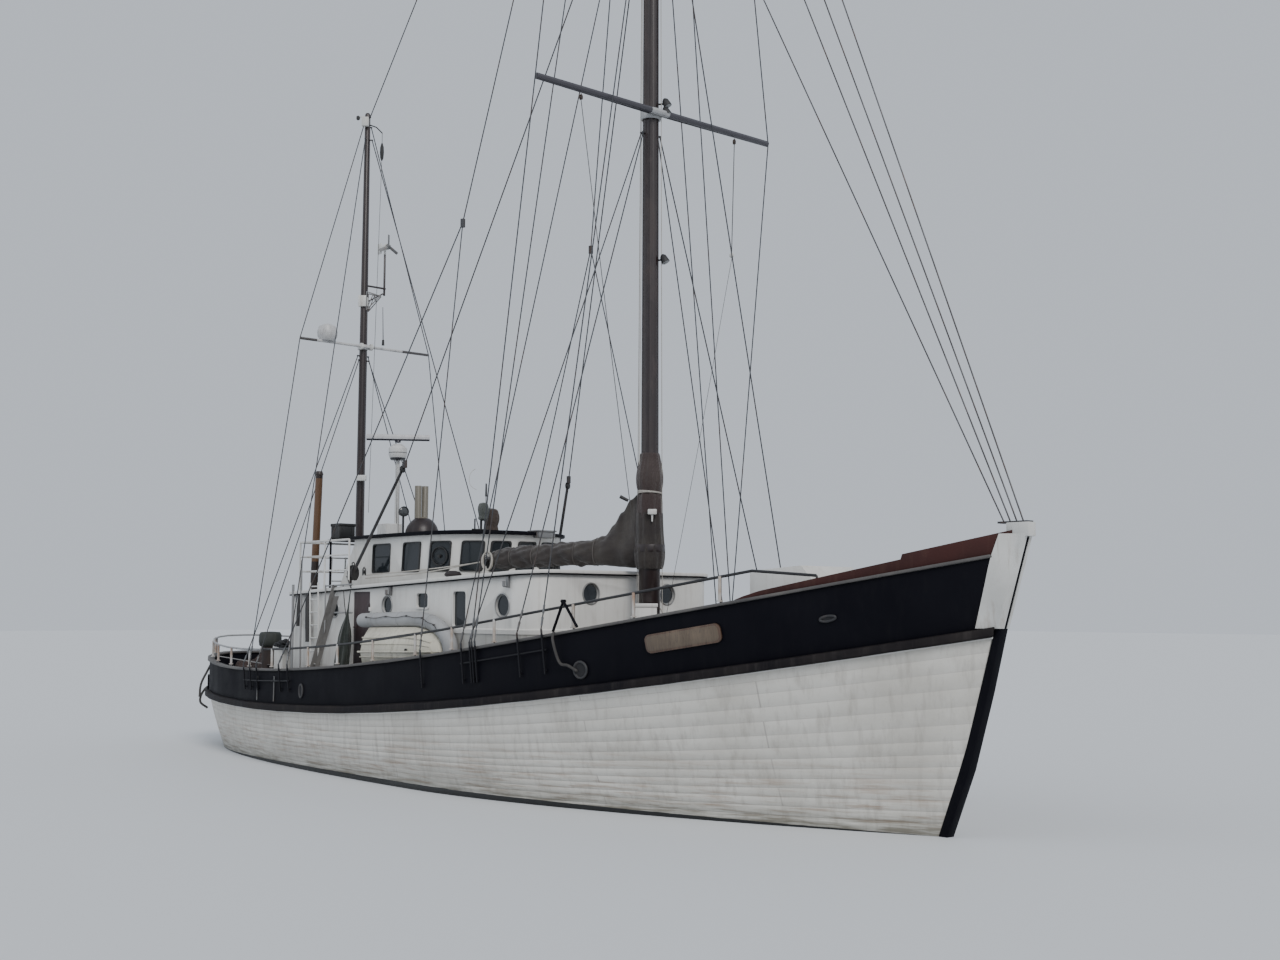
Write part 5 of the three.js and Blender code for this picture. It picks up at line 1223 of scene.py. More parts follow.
mastFittings = {
    "floods": [(8.96, 0.24), (11.53, 0.27), (11.68, 0.27)],  # height, distance across
    "floodAim": (0.4, 0.2, -0.9), "floodRadius": 0.07,
    "footBox": (-0.06, 0.36), "lampBox": (0.04, 0.275, 4.655),  # across, toward, height
    "halyards": [(-0.21, 0.02, 2.5, 17.1), (-0.185, 0.07, 2.6, 17.0), (0.215, 0.05, 2.6, 17.0)],
}
shells, lamps = [], []
for z, across in mastFittings["floods"]:
    lamp = fromMast(across, 0.05, z)
    shell, face = addFloodlight(lamp, mastFittings["floodAim"], mastFittings["floodRadius"])
    shells += [shell, addRod(fromMast(0.1, 0, z), lamp, 0.016),
               addRod(lamp - rise(0.08), lamp + rise(0.09), 0.012)]
    lamps.append(face)
finished(shells, "mast_floodlights", "black_paint", finish=rubber)
finished(lamps, "mast_floodlight_glass", "white_paint", finish=weathered(
    "lampGlass", (0.25, 0.26, 0.26), (0.2, 0.2, 0.2), (0.12, 0.11, 0.1), 0.2))
finished([addBoxed(fromMast(*mastFittings["footBox"], 2.455), 0.36, 0.24, 1.35, 0.012),
          addBoxed(fromMast(*mastFittings["footBox"], 3.11), 0.39, 0.27, 0.06)], "mast_foot_box",
          "white_paint")
lampBox = fromMast(*mastFittings["lampBox"])
finished([addBoxed(lampBox, 0.15, 0.10, 0.09, 0.014),
          addRod(lampBox - rise(0.03), lampBox - rise(0.16), 0.02, 0.012)],
         "mast_lamp_box", "white_metal")
finished([addRod(fromMast(-0.36, 0, 4.86), fromMast(-0.50, 0, 4.93), 0.026, 0.03, 14)],
         "leech_stub", "black_paint", "boom", rubber)
halyards, pins = [], []
for across, toward, low, high in mastFittings["halyards"]:
    halyards.append(addLine(fromMast(across, toward, low), fromMast(across * 0.72, toward * 0.72, high),
                            0.0065))
    pin = low + 0.35
    pins.append(addRod(fromMast(0, 0, pin), fromMast(across * 1.12, toward * 1.12, pin), 0.016, 0.012))
finished(halyards, "main_halyards", "canvas", finish=paleRope, smooth=60)
finished(pins, "mast_pins", "rig_steel")
for k, (across, toward, low, _) in enumerate(mastFittings["halyards"]):
    hang = fromMast(across * 1.05, toward + 0.09, low + 0.2)
    side = math.copysign(0.175, across)
    lead = [fromMast(side, 0.02, low + 0.46), fromMast((side + across) / 2, toward / 2 + 0.05, low + 0.44)]
    freeCord(lead + coilRun(hang, 0.05, 0.17, 4, 0.032), 0.012, f"halyard_coil_{k + 1}", paleRope)

# Crosstrees: pale collars, blocks under the arms, pendants and lines from them
crosstree = {
    "x": 3.724, "z": 11.49, "hooks": (-1.72, 1.79),
    "collars": [(3.688, -0.5, 17.4), (3.688, 0.5, 17.4), (-5.75, -0.12, 8.69), (-5.75, 0.12, 8.69)],
}


def addPulley(place, size, turn=0.0):
    place = Vector(place)
    out = (math.cos(turn), math.sin(turn), 0)
    parts = []
    for side in (-1, 1):
        plate = addOutline(ellipse(0.45 * size, 0.62 * size, 16), 0.012 + size * 0.06, 0.004)
        parts.append(moved(plate, facing(place, out) @ Matrix.Translation(rise(side * size * 0.2))))
    sheave = [(0.38 * size, -size * 0.13), (0.3 * size, 0.0), (0.38 * size, size * 0.13)]
    parts.append(addTurned(sheave, place, 20, out))
    eye = (math.sin(turn), -math.cos(turn), 0)
    return [*parts, addRing(place + rise(0.72 * size), eye, 0.13 * size, 0.035 * size + 0.003, 16, 6)]


x, z = crosstree["x"], crosstree["z"]
starboard, port = crosstree["hooks"]
blocks = [part for y in crosstree["hooks"] for part in addPulley((x, y, z - 0.14), 0.07, 0.4)]
pendant = Vector((x, port, z - 0.18))
ropes = [
    addLine(pendant, pendant + Vector((-0.02, -0.05, -1.95)), 0.008),
    addLine((x, starboard, z - 0.18), (3.66, -0.22, 2.75), 0.006, 0.12),
    addLine(pendant + Vector((-0.02, -0.05, -2.08)), (3.6, 0.24, 2.75), 0.004, 0.1),
]
ball = addTurned([(0.008, -0.05), (0.036, -0.034), (0.05, 0.0), (0.036, 0.034), (0.008, 0.05)],
                 pendant + Vector((-0.02, -0.05, -2.02)), 20)
finished(rounded(ball), "pendant_ball", "white_metal", smooth=70)
finished(blocks, "crosstree_blocks", "brown_paint", finish=weathered(
    "blockWood", (0.05, 0.034, 0.025), (0.032, 0.022, 0.018), (0.10, 0.085, 0.07), 0.5))
finished(ropes, "crosstree_lines", "canvas", finish=darkRope, smooth=60)
finished([addTurned([(0.05, -0.03), (0.072, -0.02), (0.072, 0.02), (0.05, 0.03)], place, 14, (0, 1, 0))
          for place in crosstree["collars"]], "crosstree_collars", "white_metal")

# Tackles of the running backstays and the sheet
tackleParts, tackleRopes = [], []
for block, foot in (((-1.36, -1.74, 5.71), (-3.22, -1.76, 3.61)), ((-0.88, 1.74, 5.6), (-1.36, 1.76, 3.68))):
    block, foot = Vector(block), Vector(foot)
    along = (foot - block).normalized()
    side = along.cross(Vector((0, 1, 0))).normalized()
    tackleParts += addPulley(block + along * 0.12, 0.11, 0.3) + addPulley(foot - along * 0.16, 0.24, 0.3)
    for k in (-1.5, -0.5, 0.5, 1.5):
        tackleRopes.append(addLine(block + along * 0.16 + side * 0.02 * k,
                                   foot - along * 0.26 + side * 0.024 * k, 0.009))
finished(tackleParts, "tackle_blocks", "black_paint", finish=rubber)
finished(tackleRopes, "tackle_falls", "canvas", finish=darkRope, smooth=60)
boomEnd = alongBoom(3.3, 0, 0)
sheetFoot = Vector((-2.62, -1.78, 3.62))
mainsheet = [
    addLine(boomEnd + Vector((0.02, -0.02, -0.02)), sheetFoot, 0.011, 0.05),
    addLine(boomEnd + Vector((0.0, 0.03, -0.03)), sheetFoot + Vector((0.03, 0.0, 0.06)), 0.011, 0.02),
]
lead = [alongBoom(3.275, 0, 0.05), alongBoom(3.3, 0.05, 0.12)]
coil = coilRun(boomEnd + Vector((0.2, -0.13, -0.03)), 0.085, 0.16, 6, 0.03)
freeCord(lead + coil, 0.012, "sheet_coil", paleRope, "boom")
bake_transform(finished(mainsheet, "mainsheet", "canvas", None, paleRope, 60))
finished(addPulley(sheetFoot + Vector((-0.05, 0, 0.12)), 0.11, 1.2), "sheet_foot_block", "black_paint",
         finish=rubber)
finished(addPulley(boomEnd + Vector((-0.03, 0, -0.06)), 0.16, 1.2), "sheet_boom_block", "black_paint",
         "boom", rubber)

# Rigging screws where the wires meet their plates
screws = []
chains = [  # place along the rail, and where the wire's head is
    (2.19, (3.48, 0.175, 17.15)), (2.42, (3.47, 0.19, 11.15)), (2.56, (3.48, 0.125, 24.1)),
    (3.59, (3.52, 0.19, 11.15)), (4.12, (3.65, 0.12, 16.95)), (2.48, (3.724, 2.656, 11.49)),
    (-6.18, (-5.88, 0.125, 8.5)), (-5.45, (-5.84, 0.12, 8.4)), (-3.9, (-5.82, 0.085, 13.3)),
    (-5.82, (-5.75, 1.592, 8.69)), (-4.3, (0.06, 1.5, 10.03)), (1.0, (0.06, 1.5, 10.03)),
]
screwRods = [  # from, to, radii and sides
    (0, 0.13, 0.017, 0.017, 10), (0.19, 0.32, 0.017, 0.017, 10), (0.13, 0.19, 0.010, 0.010, 8),
    (0.32, 0.45, 0.011, 0.007, 8),
]
for x, (headX, headY, headZ) in chains:
    for side in (-1, 1):
        foot = bulwarkFace(x, bulwarkTopAt(x) + 0.13, side, 0.080)
        along = (Vector((headX, side * headY, headZ)) - foot).normalized()
        base = foot + along * 0.05
        screws += [addRod(base + along * a, base + along * b, *sizes) for a, b, *sizes in screwRods]
        screws += [addRing(base + along * a, along, 0.018, 0.005, 14, 6) for a in (0.115, 0.205)]
finished(screws, "rigging_screws", "rig_steel", finish=weathered(
    "screwSteel", (0.16, 0.165, 0.17), (0.10, 0.10, 0.10), (0.13, 0.08, 0.05), 0.4, 0.7, streak=0.5))
print("masts and rigging fitted")

# Wheelhouse roof: searchlight, covered lights, their post and the aerial's insulator
roofGear = {
    "search": {"place": (-3.2, -0.6, 4.97), "radius": 0.10, "foot": 4.42},
    "greyCover": {"place": (-0.36, -0.67, 4.83), "size": (0.16, 0.17, 0.34)},
    "brownCover": {"place": (-0.45, -0.42, 4.68), "size": (0.22, 0.25, 0.46)},
    "stick": {"place": (-0.42, -0.57, 4.9), "head": 5.36},
    "locker": {"low": (-4.70, -1.36, 4.45), "high": (-4.36, -1.0, 4.76)},
    "hatch": {"low": (-0.02, 0.12, 4.36), "high": (0.3, 0.5, 4.47)},
}


def addCover(place, size, round=0.35, folds=7):  # a tied canvas cover
    middle, half = Vector(place), Vector(size) / 2
    cover = addBlock(middle - half, middle + half, 0)
    openMesh(cover)
    bpy.ops.mesh.subdivide(number_cuts=7, smoothness=0)
    closeMesh()
    for v in cover.data.vertices:
        p = v.co - middle
        unit = Vector((2 * p.x / size[0], 2 * p.y / size[1], 2 * p.z / size[2]))
        pull = 1 - round * max(unit.length - 1, 0) * 0.8
        wave = 1 + 0.05 * math.sin(folds * unit.x + 5 * unit.z)
        wave += 0.045 * math.sin(folds * 1.3 * unit.y - 4 * unit.z)
        waist = 1 - 0.14 * math.exp(-((unit.z + 0.55) / 0.16) ** 2)
        v.co = middle + Vector((p.x * pull * wave * waist, p.y * pull * wave * waist, p.z * pull))
    return rounded(cover)


g = roofGear["search"]
head = Vector(g["place"])
aim = Vector((0.97, -0.15, 0.05)).normalized()
horn = addTurned([(0.02, -0.13), (0.05, -0.11), (0.088, -0.05), (0.1, 0.03), (0.104, 0.045),
                  (0.096, 0.05), (0.08, 0.0), (0.02, -0.06)], head, 28, aim)
finished([horn, addRod((head.x, head.y, g["foot"]), head - rise(0.09), 0.022),
          addBlock((head.x - 0.07, head.y - 0.07, g["foot"] - 0.02),
                   (head.x + 0.07, head.y + 0.07, g["foot"] + 0.03), 0.008)],
         "searchlight", "black_paint", finish=rubber)
finished(addTurned([(0.094, 0.0), (0.06, 0.016), (0.01, 0.022)], head + aim * 0.03, 28, aim),
         "searchlight_glass", "white_paint",
         finish=weathered("searchGlass", (0.06, 0.065, 0.07), (0.045, 0.048, 0.05), (0.03, 0.03, 0.03), 0.15))
greyCloth = clothFinish("greyCover", (0.070, 0.078, 0.072), (0.11, 0.12, 0.105), 0.005)
brownCloth = clothFinish("brownCover", (0.050, 0.034, 0.027), (0.085, 0.062, 0.048), 0.005)
for shade, cloth in (("grey", greyCloth), ("brown", brownCloth)):
    g = roofGear[shade + "Cover"]
    cover = finished(
        addCover(g["place"], g["size"]), "light_cover_" + shade, "canvas", finish=cloth, smooth=70)
stickFoot, stickHead = Vector(roofGear["stick"]["place"]), Vector((-0.42, -0.57, roofGear["stick"]["head"]))
finished([
    addRod((-0.44, -0.66, 3.95), (-0.44, -0.66, 4.75), 0.022),
    addRod((-0.44, -0.80, 4.3), (-0.44, -0.80, 4.7), 0.014),
    addRod((-0.44, -0.86, 4.5), (-0.44, -0.3, 4.5), 0.016), addRod(stickFoot, stickHead, 0.008),
    addRod(stickHead - rise(0.24), stickHead, 0.02, 0.014),
    addBlock((-0.5, -0.74, 4.4), (-0.38, -0.58, 4.47), 0.006),
], "light_posts", "black_paint", finish=rubber)
curl = [stickHead - Vector(pictureRight) * 0.16 * math.sin(t)
        + Vector((-0.1, -0.12, 0.2 * math.cos(t) + 0.08)) for t in (0.3, 0.9, 1.6, 2.3, 3.0)]
finished(addHose(curl, 0.004, 6, 2), "aerial_curl", "canvas", finish=paleRope, smooth=60)
g = roofGear["hatch"]
low, high = Vector(g["low"]), Vector(g["high"])
finished([addBlock(low, high, 0.012),
          addBlock((low.x - 0.02, low.y - 0.02, high.z), high + Vector((0.02, 0.02, 0.03)), 0.01)],
         "wheelhouse_roof_hatch", "grey_paint")
g = roofGear["locker"]
low, high = Vector(g["low"]), Vector(g["high"])
lockerBody = [addBlock(low, (high.x, high.y, high.z - 0.05), 0.012),
              addBlock((low.x - 0.012, low.y - 0.012, high.z - 0.06),
                       (high.x + 0.012, high.y + 0.012, high.z), 0.014)]
for y in (low.y + 0.07, high.y - 0.07):
    lockerBody.append(addBlock(
        (low.x - 0.012, y - 0.015, low.z + 0.01), (high.x + 0.012, y + 0.015, high.z - 0.07), 0.004))
roofLocker = finished(lockerBody, "roof_locker.box", "black_paint", finish=weathered(
    "darkLocker", (0.010, 0.010, 0.011), (0.020, 0.022, 0.022), (0.05, 0.05, 0.045), 0.55))
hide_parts("roof_locker")
print("roof fitted")

# After deck: drum, locker, net pile, planks, tarpaulin, and the ropes at the stern
afterDeck = {
    "drum": {
        "place": (-7.0, -1.45),
        "profile": [(0.14, 0.98), (0.165, 1.0), (0.172, 1.3), (0.165, 1.34), (0.172, 1.75), (0.165, 1.79),
                    (0.172, 2.2), (0.178, 2.24)],
        "head": [(0.178, 2.24), (0.225, 2.27), (0.24, 2.36), (0.232, 2.5), (0.2, 2.55), (0.05, 2.56)],
    },
    "locker": {"low": (-6.35, -1.70, 1.0), "high": (-5.98, -1.45, 2.275)},
    "net": {"middle": (-9.15, -0.5, 1.27), "half": (0.8, 0.5, 0.68)},
    "planks": [((-3.16, -2.12, 3.50), (-4.22, -2.14, 1.32), 0.05),
               ((-3.03, -2.15, 3.28), (-4.0, -2.18, 1.32), 0.04),
               ((-9.7, -1.35, 1.98), (-6.6, -1.55, 1.86), 0.045)],
    "poles": [((-4.42, -2.13, 1.25), (-4.50, -2.11, 4.0), 0.02),
              ((-3.3, -2.12, 2.97), (-2.5, -2.12, 2.97), 0.016),
              ((-4.78, -2.12, 1.25), (-4.8, -2.12, 3.52), 0.026),
              ((-3.5, -2.13, 2.4), (-3.5, -2.13, 3.5), 0.014),
              ((-3.5, -2.13, 3.48), (-2.5, -2.13, 3.5), 0.014)],
    "ladder": {"x": (-4.02, -3.70), "lean": -0.12, "y": -2.12, "low": 1.3, "high": 3.55, "rungs": 9},
    "hangings": [((-4.28, -2.07, 3.35), (-4.14, -2.13, 2.4), 0.05),
                 ((-4.62, -2.07, 3.3), (-4.56, -2.13, 2.7), 0.035)],
    "tarp": {"top": (-2.55, -2.13, 3.44), "foot": (-2.62, -2.30, 1.72), "radius": 0.17},
    "sternRopes": [[(-10.82, -0.9, 1.87), (-10.96, -0.98, 1.6), (-10.98, -1.12, 1.3), (-10.96, -1.16, 1.0)],
                   [(-10.99, -0.68, 1.2), (-11.03, -0.9, 1.24), (-11.0, -1.08, 1.08), (-10.99, -1.12, 0.88),
                    (-10.97, -0.95, 0.74)]],
}


g = afterDeck["drum"]
drumShell = addTurned([(0.02, 0.98), *g["profile"], (0.02, 2.25)], (*g["place"], 0), 32)
drumHead = addTurned([(0.02, 2.24), *g["head"]], (*g["place"], 0), 32)
afterDrum = finished(drumShell, "after_drum.shell", "white_metal", finish=weathered(
    "oldDrum", (0.014, 0.010, 0.010), (0.034, 0.022, 0.017), (0.06, 0.04, 0.028), 0.6, streak=0.7))
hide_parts("after_drum")
finished(drumHead, "drum_cover", "canvas", finish=weathered(
    "oldCover", (0.018, 0.022, 0.020), (0.035, 0.040, 0.034), (0.07, 0.072, 0.062), 0.7, streak=0.4),
    smooth=60)
low, high = Vector(afterDeck["locker"]["low"]), Vector(afterDeck["locker"]["high"])
lockerParts = [addBlock(low, high - rise(0.05), 0.015),
               addBlock((low.x - 0.02, low.y - 0.02, high.z - 0.055), (high.x + 0.02, high.y + 0.02, high.z),
                        0.012)]
afterLocker = finished(lockerParts, "after_locker.box", "white_paint")
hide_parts("after_locker")


def addHeap(middle, half, rough=0.16, seed=0.0):  # a soft heap lying on the deck
    clearSelection()
    bpy.ops.mesh.primitive_uv_sphere_add(segments=56, ring_count=32, radius=1)
    heap = bpy.context.object
    middle = Vector(middle)
    for v in heap.data.vertices:
        p = v.co.copy()
        lump = 1 + rough * (math.sin(5 * p.x + 3 * p.y + seed) + math.sin(7 * p.y - 4 * p.z + 2 * seed) * 0.7
                            + math.sin(9 * p.z + 6 * p.x + seed) * 0.5 + math.sin(17 * p.x - 13 * p.y) * 0.25)
        v.co = middle + Vector((p.x * half[0] * lump, p.y * half[1] * lump, max(p.z * half[2] * lump, -0.25)))
    return settle(heap)


def netFinish(name, colour, second):  # knotted twine, the gaps between its strands painted dark as shade inside the heap
    finish, tree, shader = newFinish(name, 0.85)
    cells = addNode(tree, "TexVoronoi", {"Vector": objectPlace(tree), "Scale": 22},
                    feature="DISTANCE_TO_EDGE")
    twine = spread(tree, cells["Distance"], 0.10, 0.03)
    tone = layer(tree, colour, second, mottle(tree, (1, 1, 1), 3.0, 5, 0.55, 0.4, 0.62))
    # outside the twine the colour drops to a quarter of its value: painted shade in the hollows of the heap
    coated(tree, shader, layer(tree, tuple(0.25 * c for c in colour), tone, twine), None, twine, 0.7, 0.012)
    return finish


g = afterDeck["net"]
netPile = finished(addHeap(g["middle"], g["half"]), "net_pile", "canvas", finish=netFinish(
    "netTwine", (0.085, 0.045, 0.036), (0.055, 0.040, 0.034)), smooth=70)
ropeHeap = finished(addHeap((-6.02, -1.62, 2.31), (0.28, 0.16, 0.09), 0.2, 1.7), "locker_rope", "canvas",
                    finish=netFinish("lockerTwine", (0.028, 0.03, 0.034), (0.05, 0.05, 0.052)), smooth=70)


def addPlank(start, end, wide, thick=0.022):
    start, end = Vector(start), Vector(end)
    plank = addBlock((-wide, -thick / 2, 0), (wide, thick / 2, (end - start).length), 0.003)
    return moved(plank, facing(start, end - start, (0, 1, 0)))


finished([addPlank(*p) for p in afterDeck["planks"]], "loose_planks", "grey_paint", finish=weathered(
    "greyPlank", (0.16, 0.155, 0.15), (0.24, 0.23, 0.22), (0.08, 0.07, 0.06), 0.7, streak=0.6))
finished([addRod(a, b, r) for a, b, r in afterDeck["poles"]], "after_poles", "white_metal", finish=weathered(
    "poleMetal", (0.20, 0.205, 0.21), (0.30, 0.30, 0.30), (0.10, 0.07, 0.05), 0.5))

g = afterDeck["ladder"]
ladderRails = [(Vector((x, g["y"], g["low"])), Vector((x + g["lean"], g["y"] + 0.01, g["high"])))
               for x in g["x"]]
ladder = [addRod(a, b, 0.018) for a, b in ladderRails]
for k in range(g["rungs"]):
    share = (k + 0.7) / g["rungs"]
    ladder.append(addRod(ladderRails[0][0].lerp(ladderRails[0][1], share),
                         ladderRails[1][0].lerp(ladderRails[1][1], share), 0.013))
finished(ladder, "side_ladder", "white_metal")
for k, (high, low, r) in enumerate(afterDeck["hangings"]):
    high, low = Vector(high), Vector(low)
    freeCord([high, high.lerp(low, 0.5) + Vector((0.02, -0.02, 0)), low], r, f"hung_hose_{k + 1}", rubber)
for k, run in enumerate(afterDeck["sternRopes"]):
    freeCord(run, 0.026, f"stern_rope_{k + 1}", darkRope)


def addTarp(top, foot, radius):  # a bundle hanging by its neck
    top, foot = Vector(top), Vector(foot)
    shape = [(0.0, 0.06), (0.15, 0.07), (0.3, 0.12), (0.38, 0.42), (0.46, 0.7), (0.6, 0.92), (0.8, 1.0),
             (0.94, 0.95), (1.0, 0.5)]
    rings = []
    for share, wide in shape:
        place = top.lerp(foot, share)
        ring = []
        for k in range(49):
            turn = fullTurn * k / 48
            fold = 1 + 0.16 * math.sin(5 * turn + 4 * share) + 0.09 * math.sin(11 * turn - 7 * share)
            r = radius * wide * fold
            ring.append(place + Vector((r * math.cos(turn), r * 0.7 * math.sin(turn), 0)))
        rings.append(ring)
    return rounded(addLofted(rings))


g = afterDeck["tarp"]
bundle = finished(addTarp(g["top"], g["foot"], g["radius"]), "hung_tarpaulin", "canvas", finish=clothFinish(
    "greenTarp", (0.013, 0.018, 0.015), (0.036, 0.045, 0.036), 0.008), smooth=70)
finished([addLine((-3.05, -1.93, 3.66), g["top"], 0.014),
          addLine((-2.9, -2.1, 3.5), (-2.45, -2.2, 2.5), 0.009, 0.1)],
         "tarpaulin_line", "canvas", finish=darkRope, smooth=60)
print("after deck fitted")

# Mizzen: boxes, lamps, the signal line and the wind generator's truss
mizzen = {"x": -5.88, "top": 13.68}


def mizzenAt(across, z, toward=0.0):
    return fromMast(across, toward, z, mizzen["x"])


top = mizzen["top"]
finished([
    addBoxed(mizzenAt(-0.03, top, 0.1), 0.15, 0.1, 0.2),
    addRod(mizzenAt(-0.04, top + 0.12, 0.08), mizzenAt(-0.19, top + 0.12, 0.05), 0.009),
    addTurned([(0.03, -0.09), (0.085, -0.08), (0.095, 0.1), (0.09, 0.11)], mizzenAt(0, 9.68), 20),
    addBoxed(mizzenAt(-0.02, 9.7, 0.07), 0.17, 0.1, 0.24),
    addBoxed(mizzenAt(0.05, 5.84, 0.15), 0.2, 0.12, 0.12),
], "mizzen_boxes", "white_metal")
armEnd = mizzenAt(0.33, top - 0.23, 0.02)
finished([
    addRod(mizzenAt(0.05, top - 0.04), mizzenAt(0.2, top - 0.1, 0.02), 0.013),
    addRod(mizzenAt(0.2, top - 0.1, 0.02), armEnd, 0.013),
    addTurned([(0.015, -0.05), (0.04, -0.03), (0.04, 0.03), (0.015, 0.05)],
              mizzenAt(-0.2, top + 0.1, 0.05), 14),
    addTurned([(0.012, -0.2), (0.035, -0.14), (0.045, -0.02), (0.04, 0.1), (0.012, 0.2)],
              armEnd - rise(0.42), 16),
    addRod(mizzenAt(0.43, 8.74), mizzenAt(0.43, 8.86), 0.03, 0.024),
    addRod(mizzenAt(0.43, 8.84), mizzenAt(0.41, 9.58), 0.01, 0.006, 8),
], "mizzen_lamps", "black_paint", finish=rubber)
finished([
    addLine(armEnd, armEnd - rise(0.24), 0.006), addLine(armEnd - rise(0.6), mizzenAt(0.2, 5.1, 0.1), 0.005),
], "mizzen_signal_line", "canvas", finish=darkRope, smooth=60)
truss = []
for side in (-0.11, 0.11):
    inner, lower, outer = (mizzenAt(*place) for place in (
        (0.07, 9.9, side), (0.07, 9.5, side), (0.36, 9.82, side * 0.4)))
    middle = inner.lerp(outer, 0.5)
    truss += [addRod(*rod) for rod in (
        (inner, outer, 0.011), (lower, outer, 0.011), (lower, inner, 0.011), (middle, lower, 0.009),
        (middle, lower.lerp(outer, 0.62), 0.009))]
finished(truss, "generator_truss", "grey_paint")
print("mizzen fitted")

# Bulwark: fairleads, the line down to one of them, square port and discharge pipes
sideGear = {
    "fairleads": [  # x, z, half-width, half-height
        (-3.38, 1.495, 0.07, 0.12), (8.56, 2.92, 0.11, 0.035), (4.80, 2.14, 0.12, 0.12)],
    "frame": [(4.39, 2.53, 3.16), (4.23, 2.6, 2.7), (4.81, 2.6, 2.78)],  # head and feet
    "lamps": [(-1.25, 3.3), (2.35, 3.41)],
    "vent": (-0.02, 1.55),
    "stanchions": [-10.45, -9.65, -8.7, -7.5, -6.25, -5.0, -3.3, -2.1, -0.8, 0.6, 1.7, 2.85, 4.6, 5.71, 7.08],
    "array": {"middle": (-4.4, 0.0, 6.6), "turn": math.radians(56), "long": 1.3, "deep": 0.12, "high": 0.13},
    "port": (-9.95, 1.385, 0.15, 0.13),
    "pipes": [-4.63, -5.5],
}
leads, holeShadePlates = [], []
for x, z, wide, high in sideGear["fairleads"]:
    for side in (-1, 1):
        frame = bulwarkFrame(x, z, side, 0.012)
        oval = [frame @ Vector((*point, 0)) for point in ellipse(wide, high, 20)]
        leads.append(addHose(oval, 0.02, 3, 3, cyclic=True))
        # each opening is covered by a flat dark plate: painted shade for the inside of the hole
        holeShadePlates.append(moved(addOutline(ellipse(wide * 0.98, high * 0.98, 20), 0.008), frame))
finished(leads, "bulwark_fairleads", "black_paint", finish=weathered(
    "fairleadIron", (0.012, 0.012, 0.015), (0.03, 0.03, 0.032), (0.06, 0.045, 0.04), 0.55))
# near-black finish for those plates: painted shade, not a paint on the boat
paintedHoleShade = weathered("paintedHoleShade", (0.007, 0.007, 0.009), (0.011, 0.011, 0.013), (0.012, 0.012, 0.014), 0.8)
finished(holeShadePlates, "fairlead_hole_shade", "black_paint", finish=paintedHoleShade)
x, z = sideGear["fairleads"][2][:2]  # the line from the rail down to the fairlead, outside the bulwark
start = x - 0.42
railLow = bulwarkTopAt(start)
freeCord([bulwarkFace(*place[:2], -1, place[2]) for place in (
    (start, railLow + 0.05, 0.075), (start, railLow - 0.08, 0.10), (x - 0.36, railLow - 0.40, 0.05),
    (x - 0.2, z + 0.06, 0.045), (x - 0.04, z - 0.02, 0.035))], 0.022, "fairlead_line", darkRope)
x, z, wide, high = sideGear["port"]
portFrames, portShadePlates = [], []
for side in (-1, 1):
    ring = addWindowFrame(wide * 2, high * 2, 0.03, 0.02, 0.02, 0.03)
    portFrames.append(moved(ring, bulwarkFrame(x, z, side, 0.01)))
    # a flat dark plate fills the port's opening: painted shade for the inside of the hole
    plate = addOutline(roundedRect(wide * 2 - 0.04, high * 2 - 0.04, 0.02), 0.008)
    portShadePlates.append(moved(plate, bulwarkFrame(x, z, side, 0.008)))
finished(portFrames, "stern_port_frames", "black_paint")
finished(portShadePlates, "stern_port_shade", "black_paint", finish=paintedHoleShade)
pipes = []
for x in sideGear["pipes"]:
    for side in (-1, 1):
        ends = [bulwarkFace(x, z, side, 0.016) for z in (deckSideAt(x) + 0.06, bulwarkTopAt(x) - 0.1)]
        pipes.append(addRod(*ends, 0.011))
finished(pipes, "discharge_pipes", "grey_paint")

# Head of the stem, the rail's sleeves and its bracing frame, the radar's array, small lamps, the roof vent
finished([addBlock((10.64, -0.084, 4.0), (10.99, 0.084, 4.188), 0.012)], "stem_head_cap", "white_metal")
sleeves, frames = [], []
for x in sideGear["stanchions"]:
    for side in (-1, 1):
        foot = Vector((x, side * (halfAt(x, topLine) - 0.08), bulwarkTopAt(x) + 0.075))
        sleeves += [addRod(foot, foot + rise(z), radius) for z, radius in ((0.36, 0.024), (0.02, 0.045))]
finished(sleeves, "stanchion_sleeves", "white_metal", finish=weathered(
    "sleevePaint", (0.50, 0.50, 0.49), (0.34, 0.27, 0.21), (0.26, 0.11, 0.045), 0.5, patch=4, streak=0.8))
for side in (-1, 1):
    apex, *feet = [Vector((x, side * y, z)) for x, y, z in sideGear["frame"]]
    cap = Vector((0.04, 0, 0))
    frames += [addRod(foot, apex, 0.022) for foot in feet] + [addRod(apex - cap, apex + cap, 0.026)]
finished(frames, "rail_frames", "black_paint")


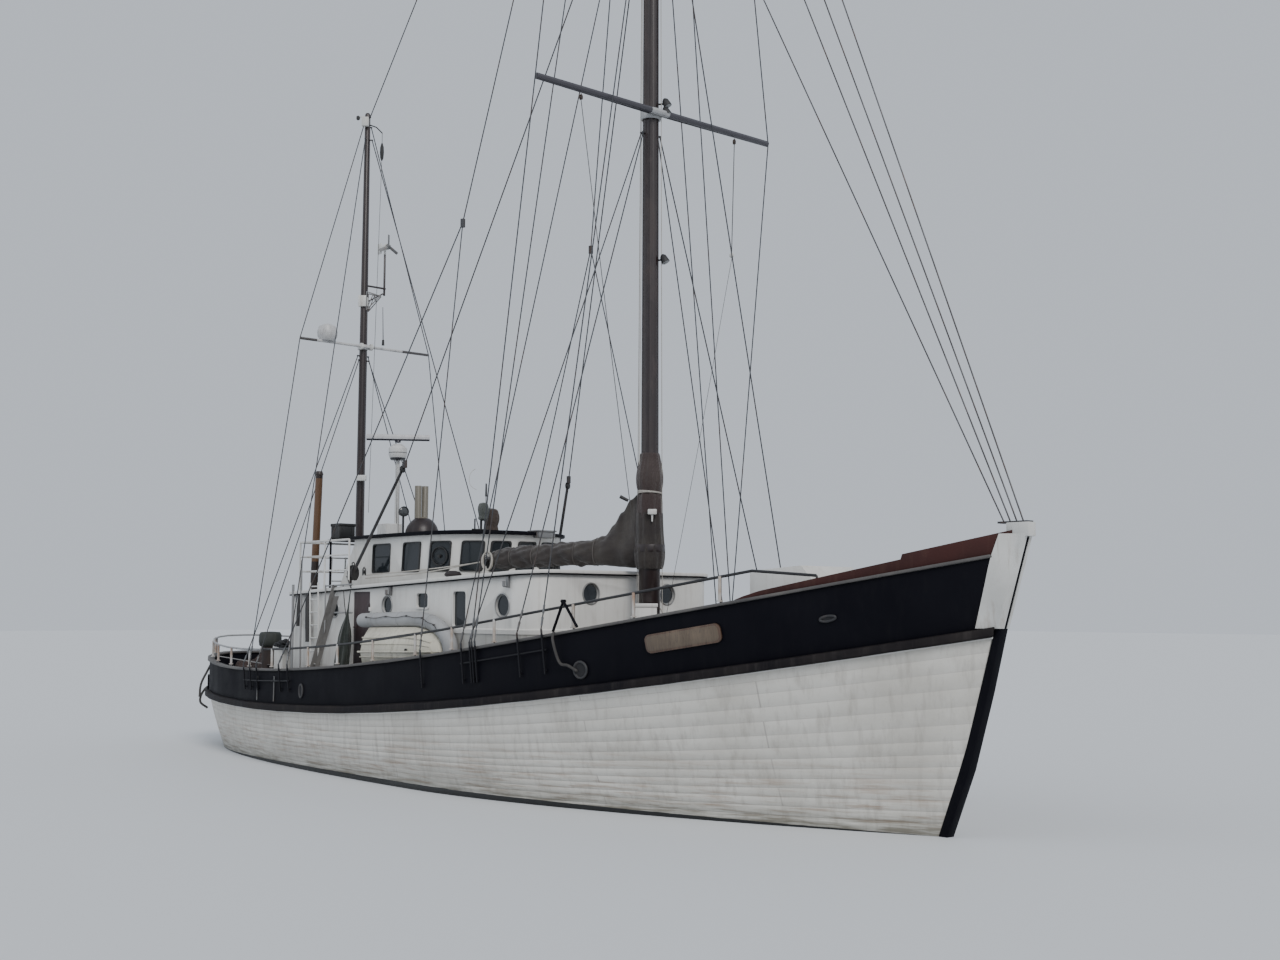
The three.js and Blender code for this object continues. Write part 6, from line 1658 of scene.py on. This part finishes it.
bpy.context.view_layer.update()
houseWalls = bpy.data.objects["deckhouse_walls.dressed"]


def houseSide(x, z, side):  # the wall's outer face
    found, place, _, _ = houseWalls.ray_cast(Vector((x, side * 5, z)), Vector((0, -side, 0)))
    return place if found else Vector((x, side * 1.8, z))


lampArms = []
for x, z in sideGear["lamps"]:
    for side in (-1, 1):
        wall = houseSide(x, z, side)
        out = Vector((0, side, 0))
        nearest, furthest = sorted((wall.y, wall.y + side * 0.05))
        lampArms += [addBlock((wall.x - 0.03, nearest, z - 0.02), (wall.x + 0.03, furthest, z + 0.16), 0.006),
                     addRod(wall + out * 0.03, wall + out * 0.12, 0.014),
                     addRod(wall + out * 0.11, wall + out * 0.11 + rise(0.09), 0.026)]
finished(lampArms, "side_lamps", "grey_paint")
x, y = sideGear["vent"]
mushroom = [(0.03, 0.02), (0.09, 0.03), (0.15, 0.06), (0.155, 0.09), (0.12, 0.13), (0.05, 0.15)]
finished([addTurned(mushroom, (x, side * y, houseRoofAt(x)), 28) for side in (-1, 1)],
         "roof_vents", "brown_paint", finish=ownFinish["funnel_casing"])
g = sideGear["array"]
bar = roundedRect(g["deep"], g["high"], 0.045, 4)
scanner = [moved(addOutline(bar, g["long"], 0.006),
                 facing(g["middle"], (math.cos(g["turn"]), math.sin(g["turn"]), 0))),
           addTurned([(0.02, -0.11), (0.06, -0.10), (0.05, -0.055), (0.02, -0.05)], g["middle"], 24)]
# the array is white with a dark band from 6.4 to 6.565 m: painted shade on the bar's lower edge, with the
# small foot below falling inside the band too
radarArrayPaintedShade = finished(scanner, "radar_scanner.array", "white_metal", bodyOf["radar_scanner"], bandedFinish(
    "radarArrayPaintedShade", (0.50, 0.50, 0.51), (0.02, 0.02, 0.03), [(6.4, 6.565)]))
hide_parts("radar_scanner")
print("bulwark fitted")

# Stage
clearSelection()
bpy.ops.mesh.primitive_plane_add(size=400, location=(0, 0, 0))
floor = bpy.context.object
floor.name = "floor"
floorFinish, _, shader = newFinish("floorFinish", 0.75)
shader.inputs["Base Color"].default_value = (0.62, 0.64, 0.66, 1)
floor.data.materials.append(floorFinish)
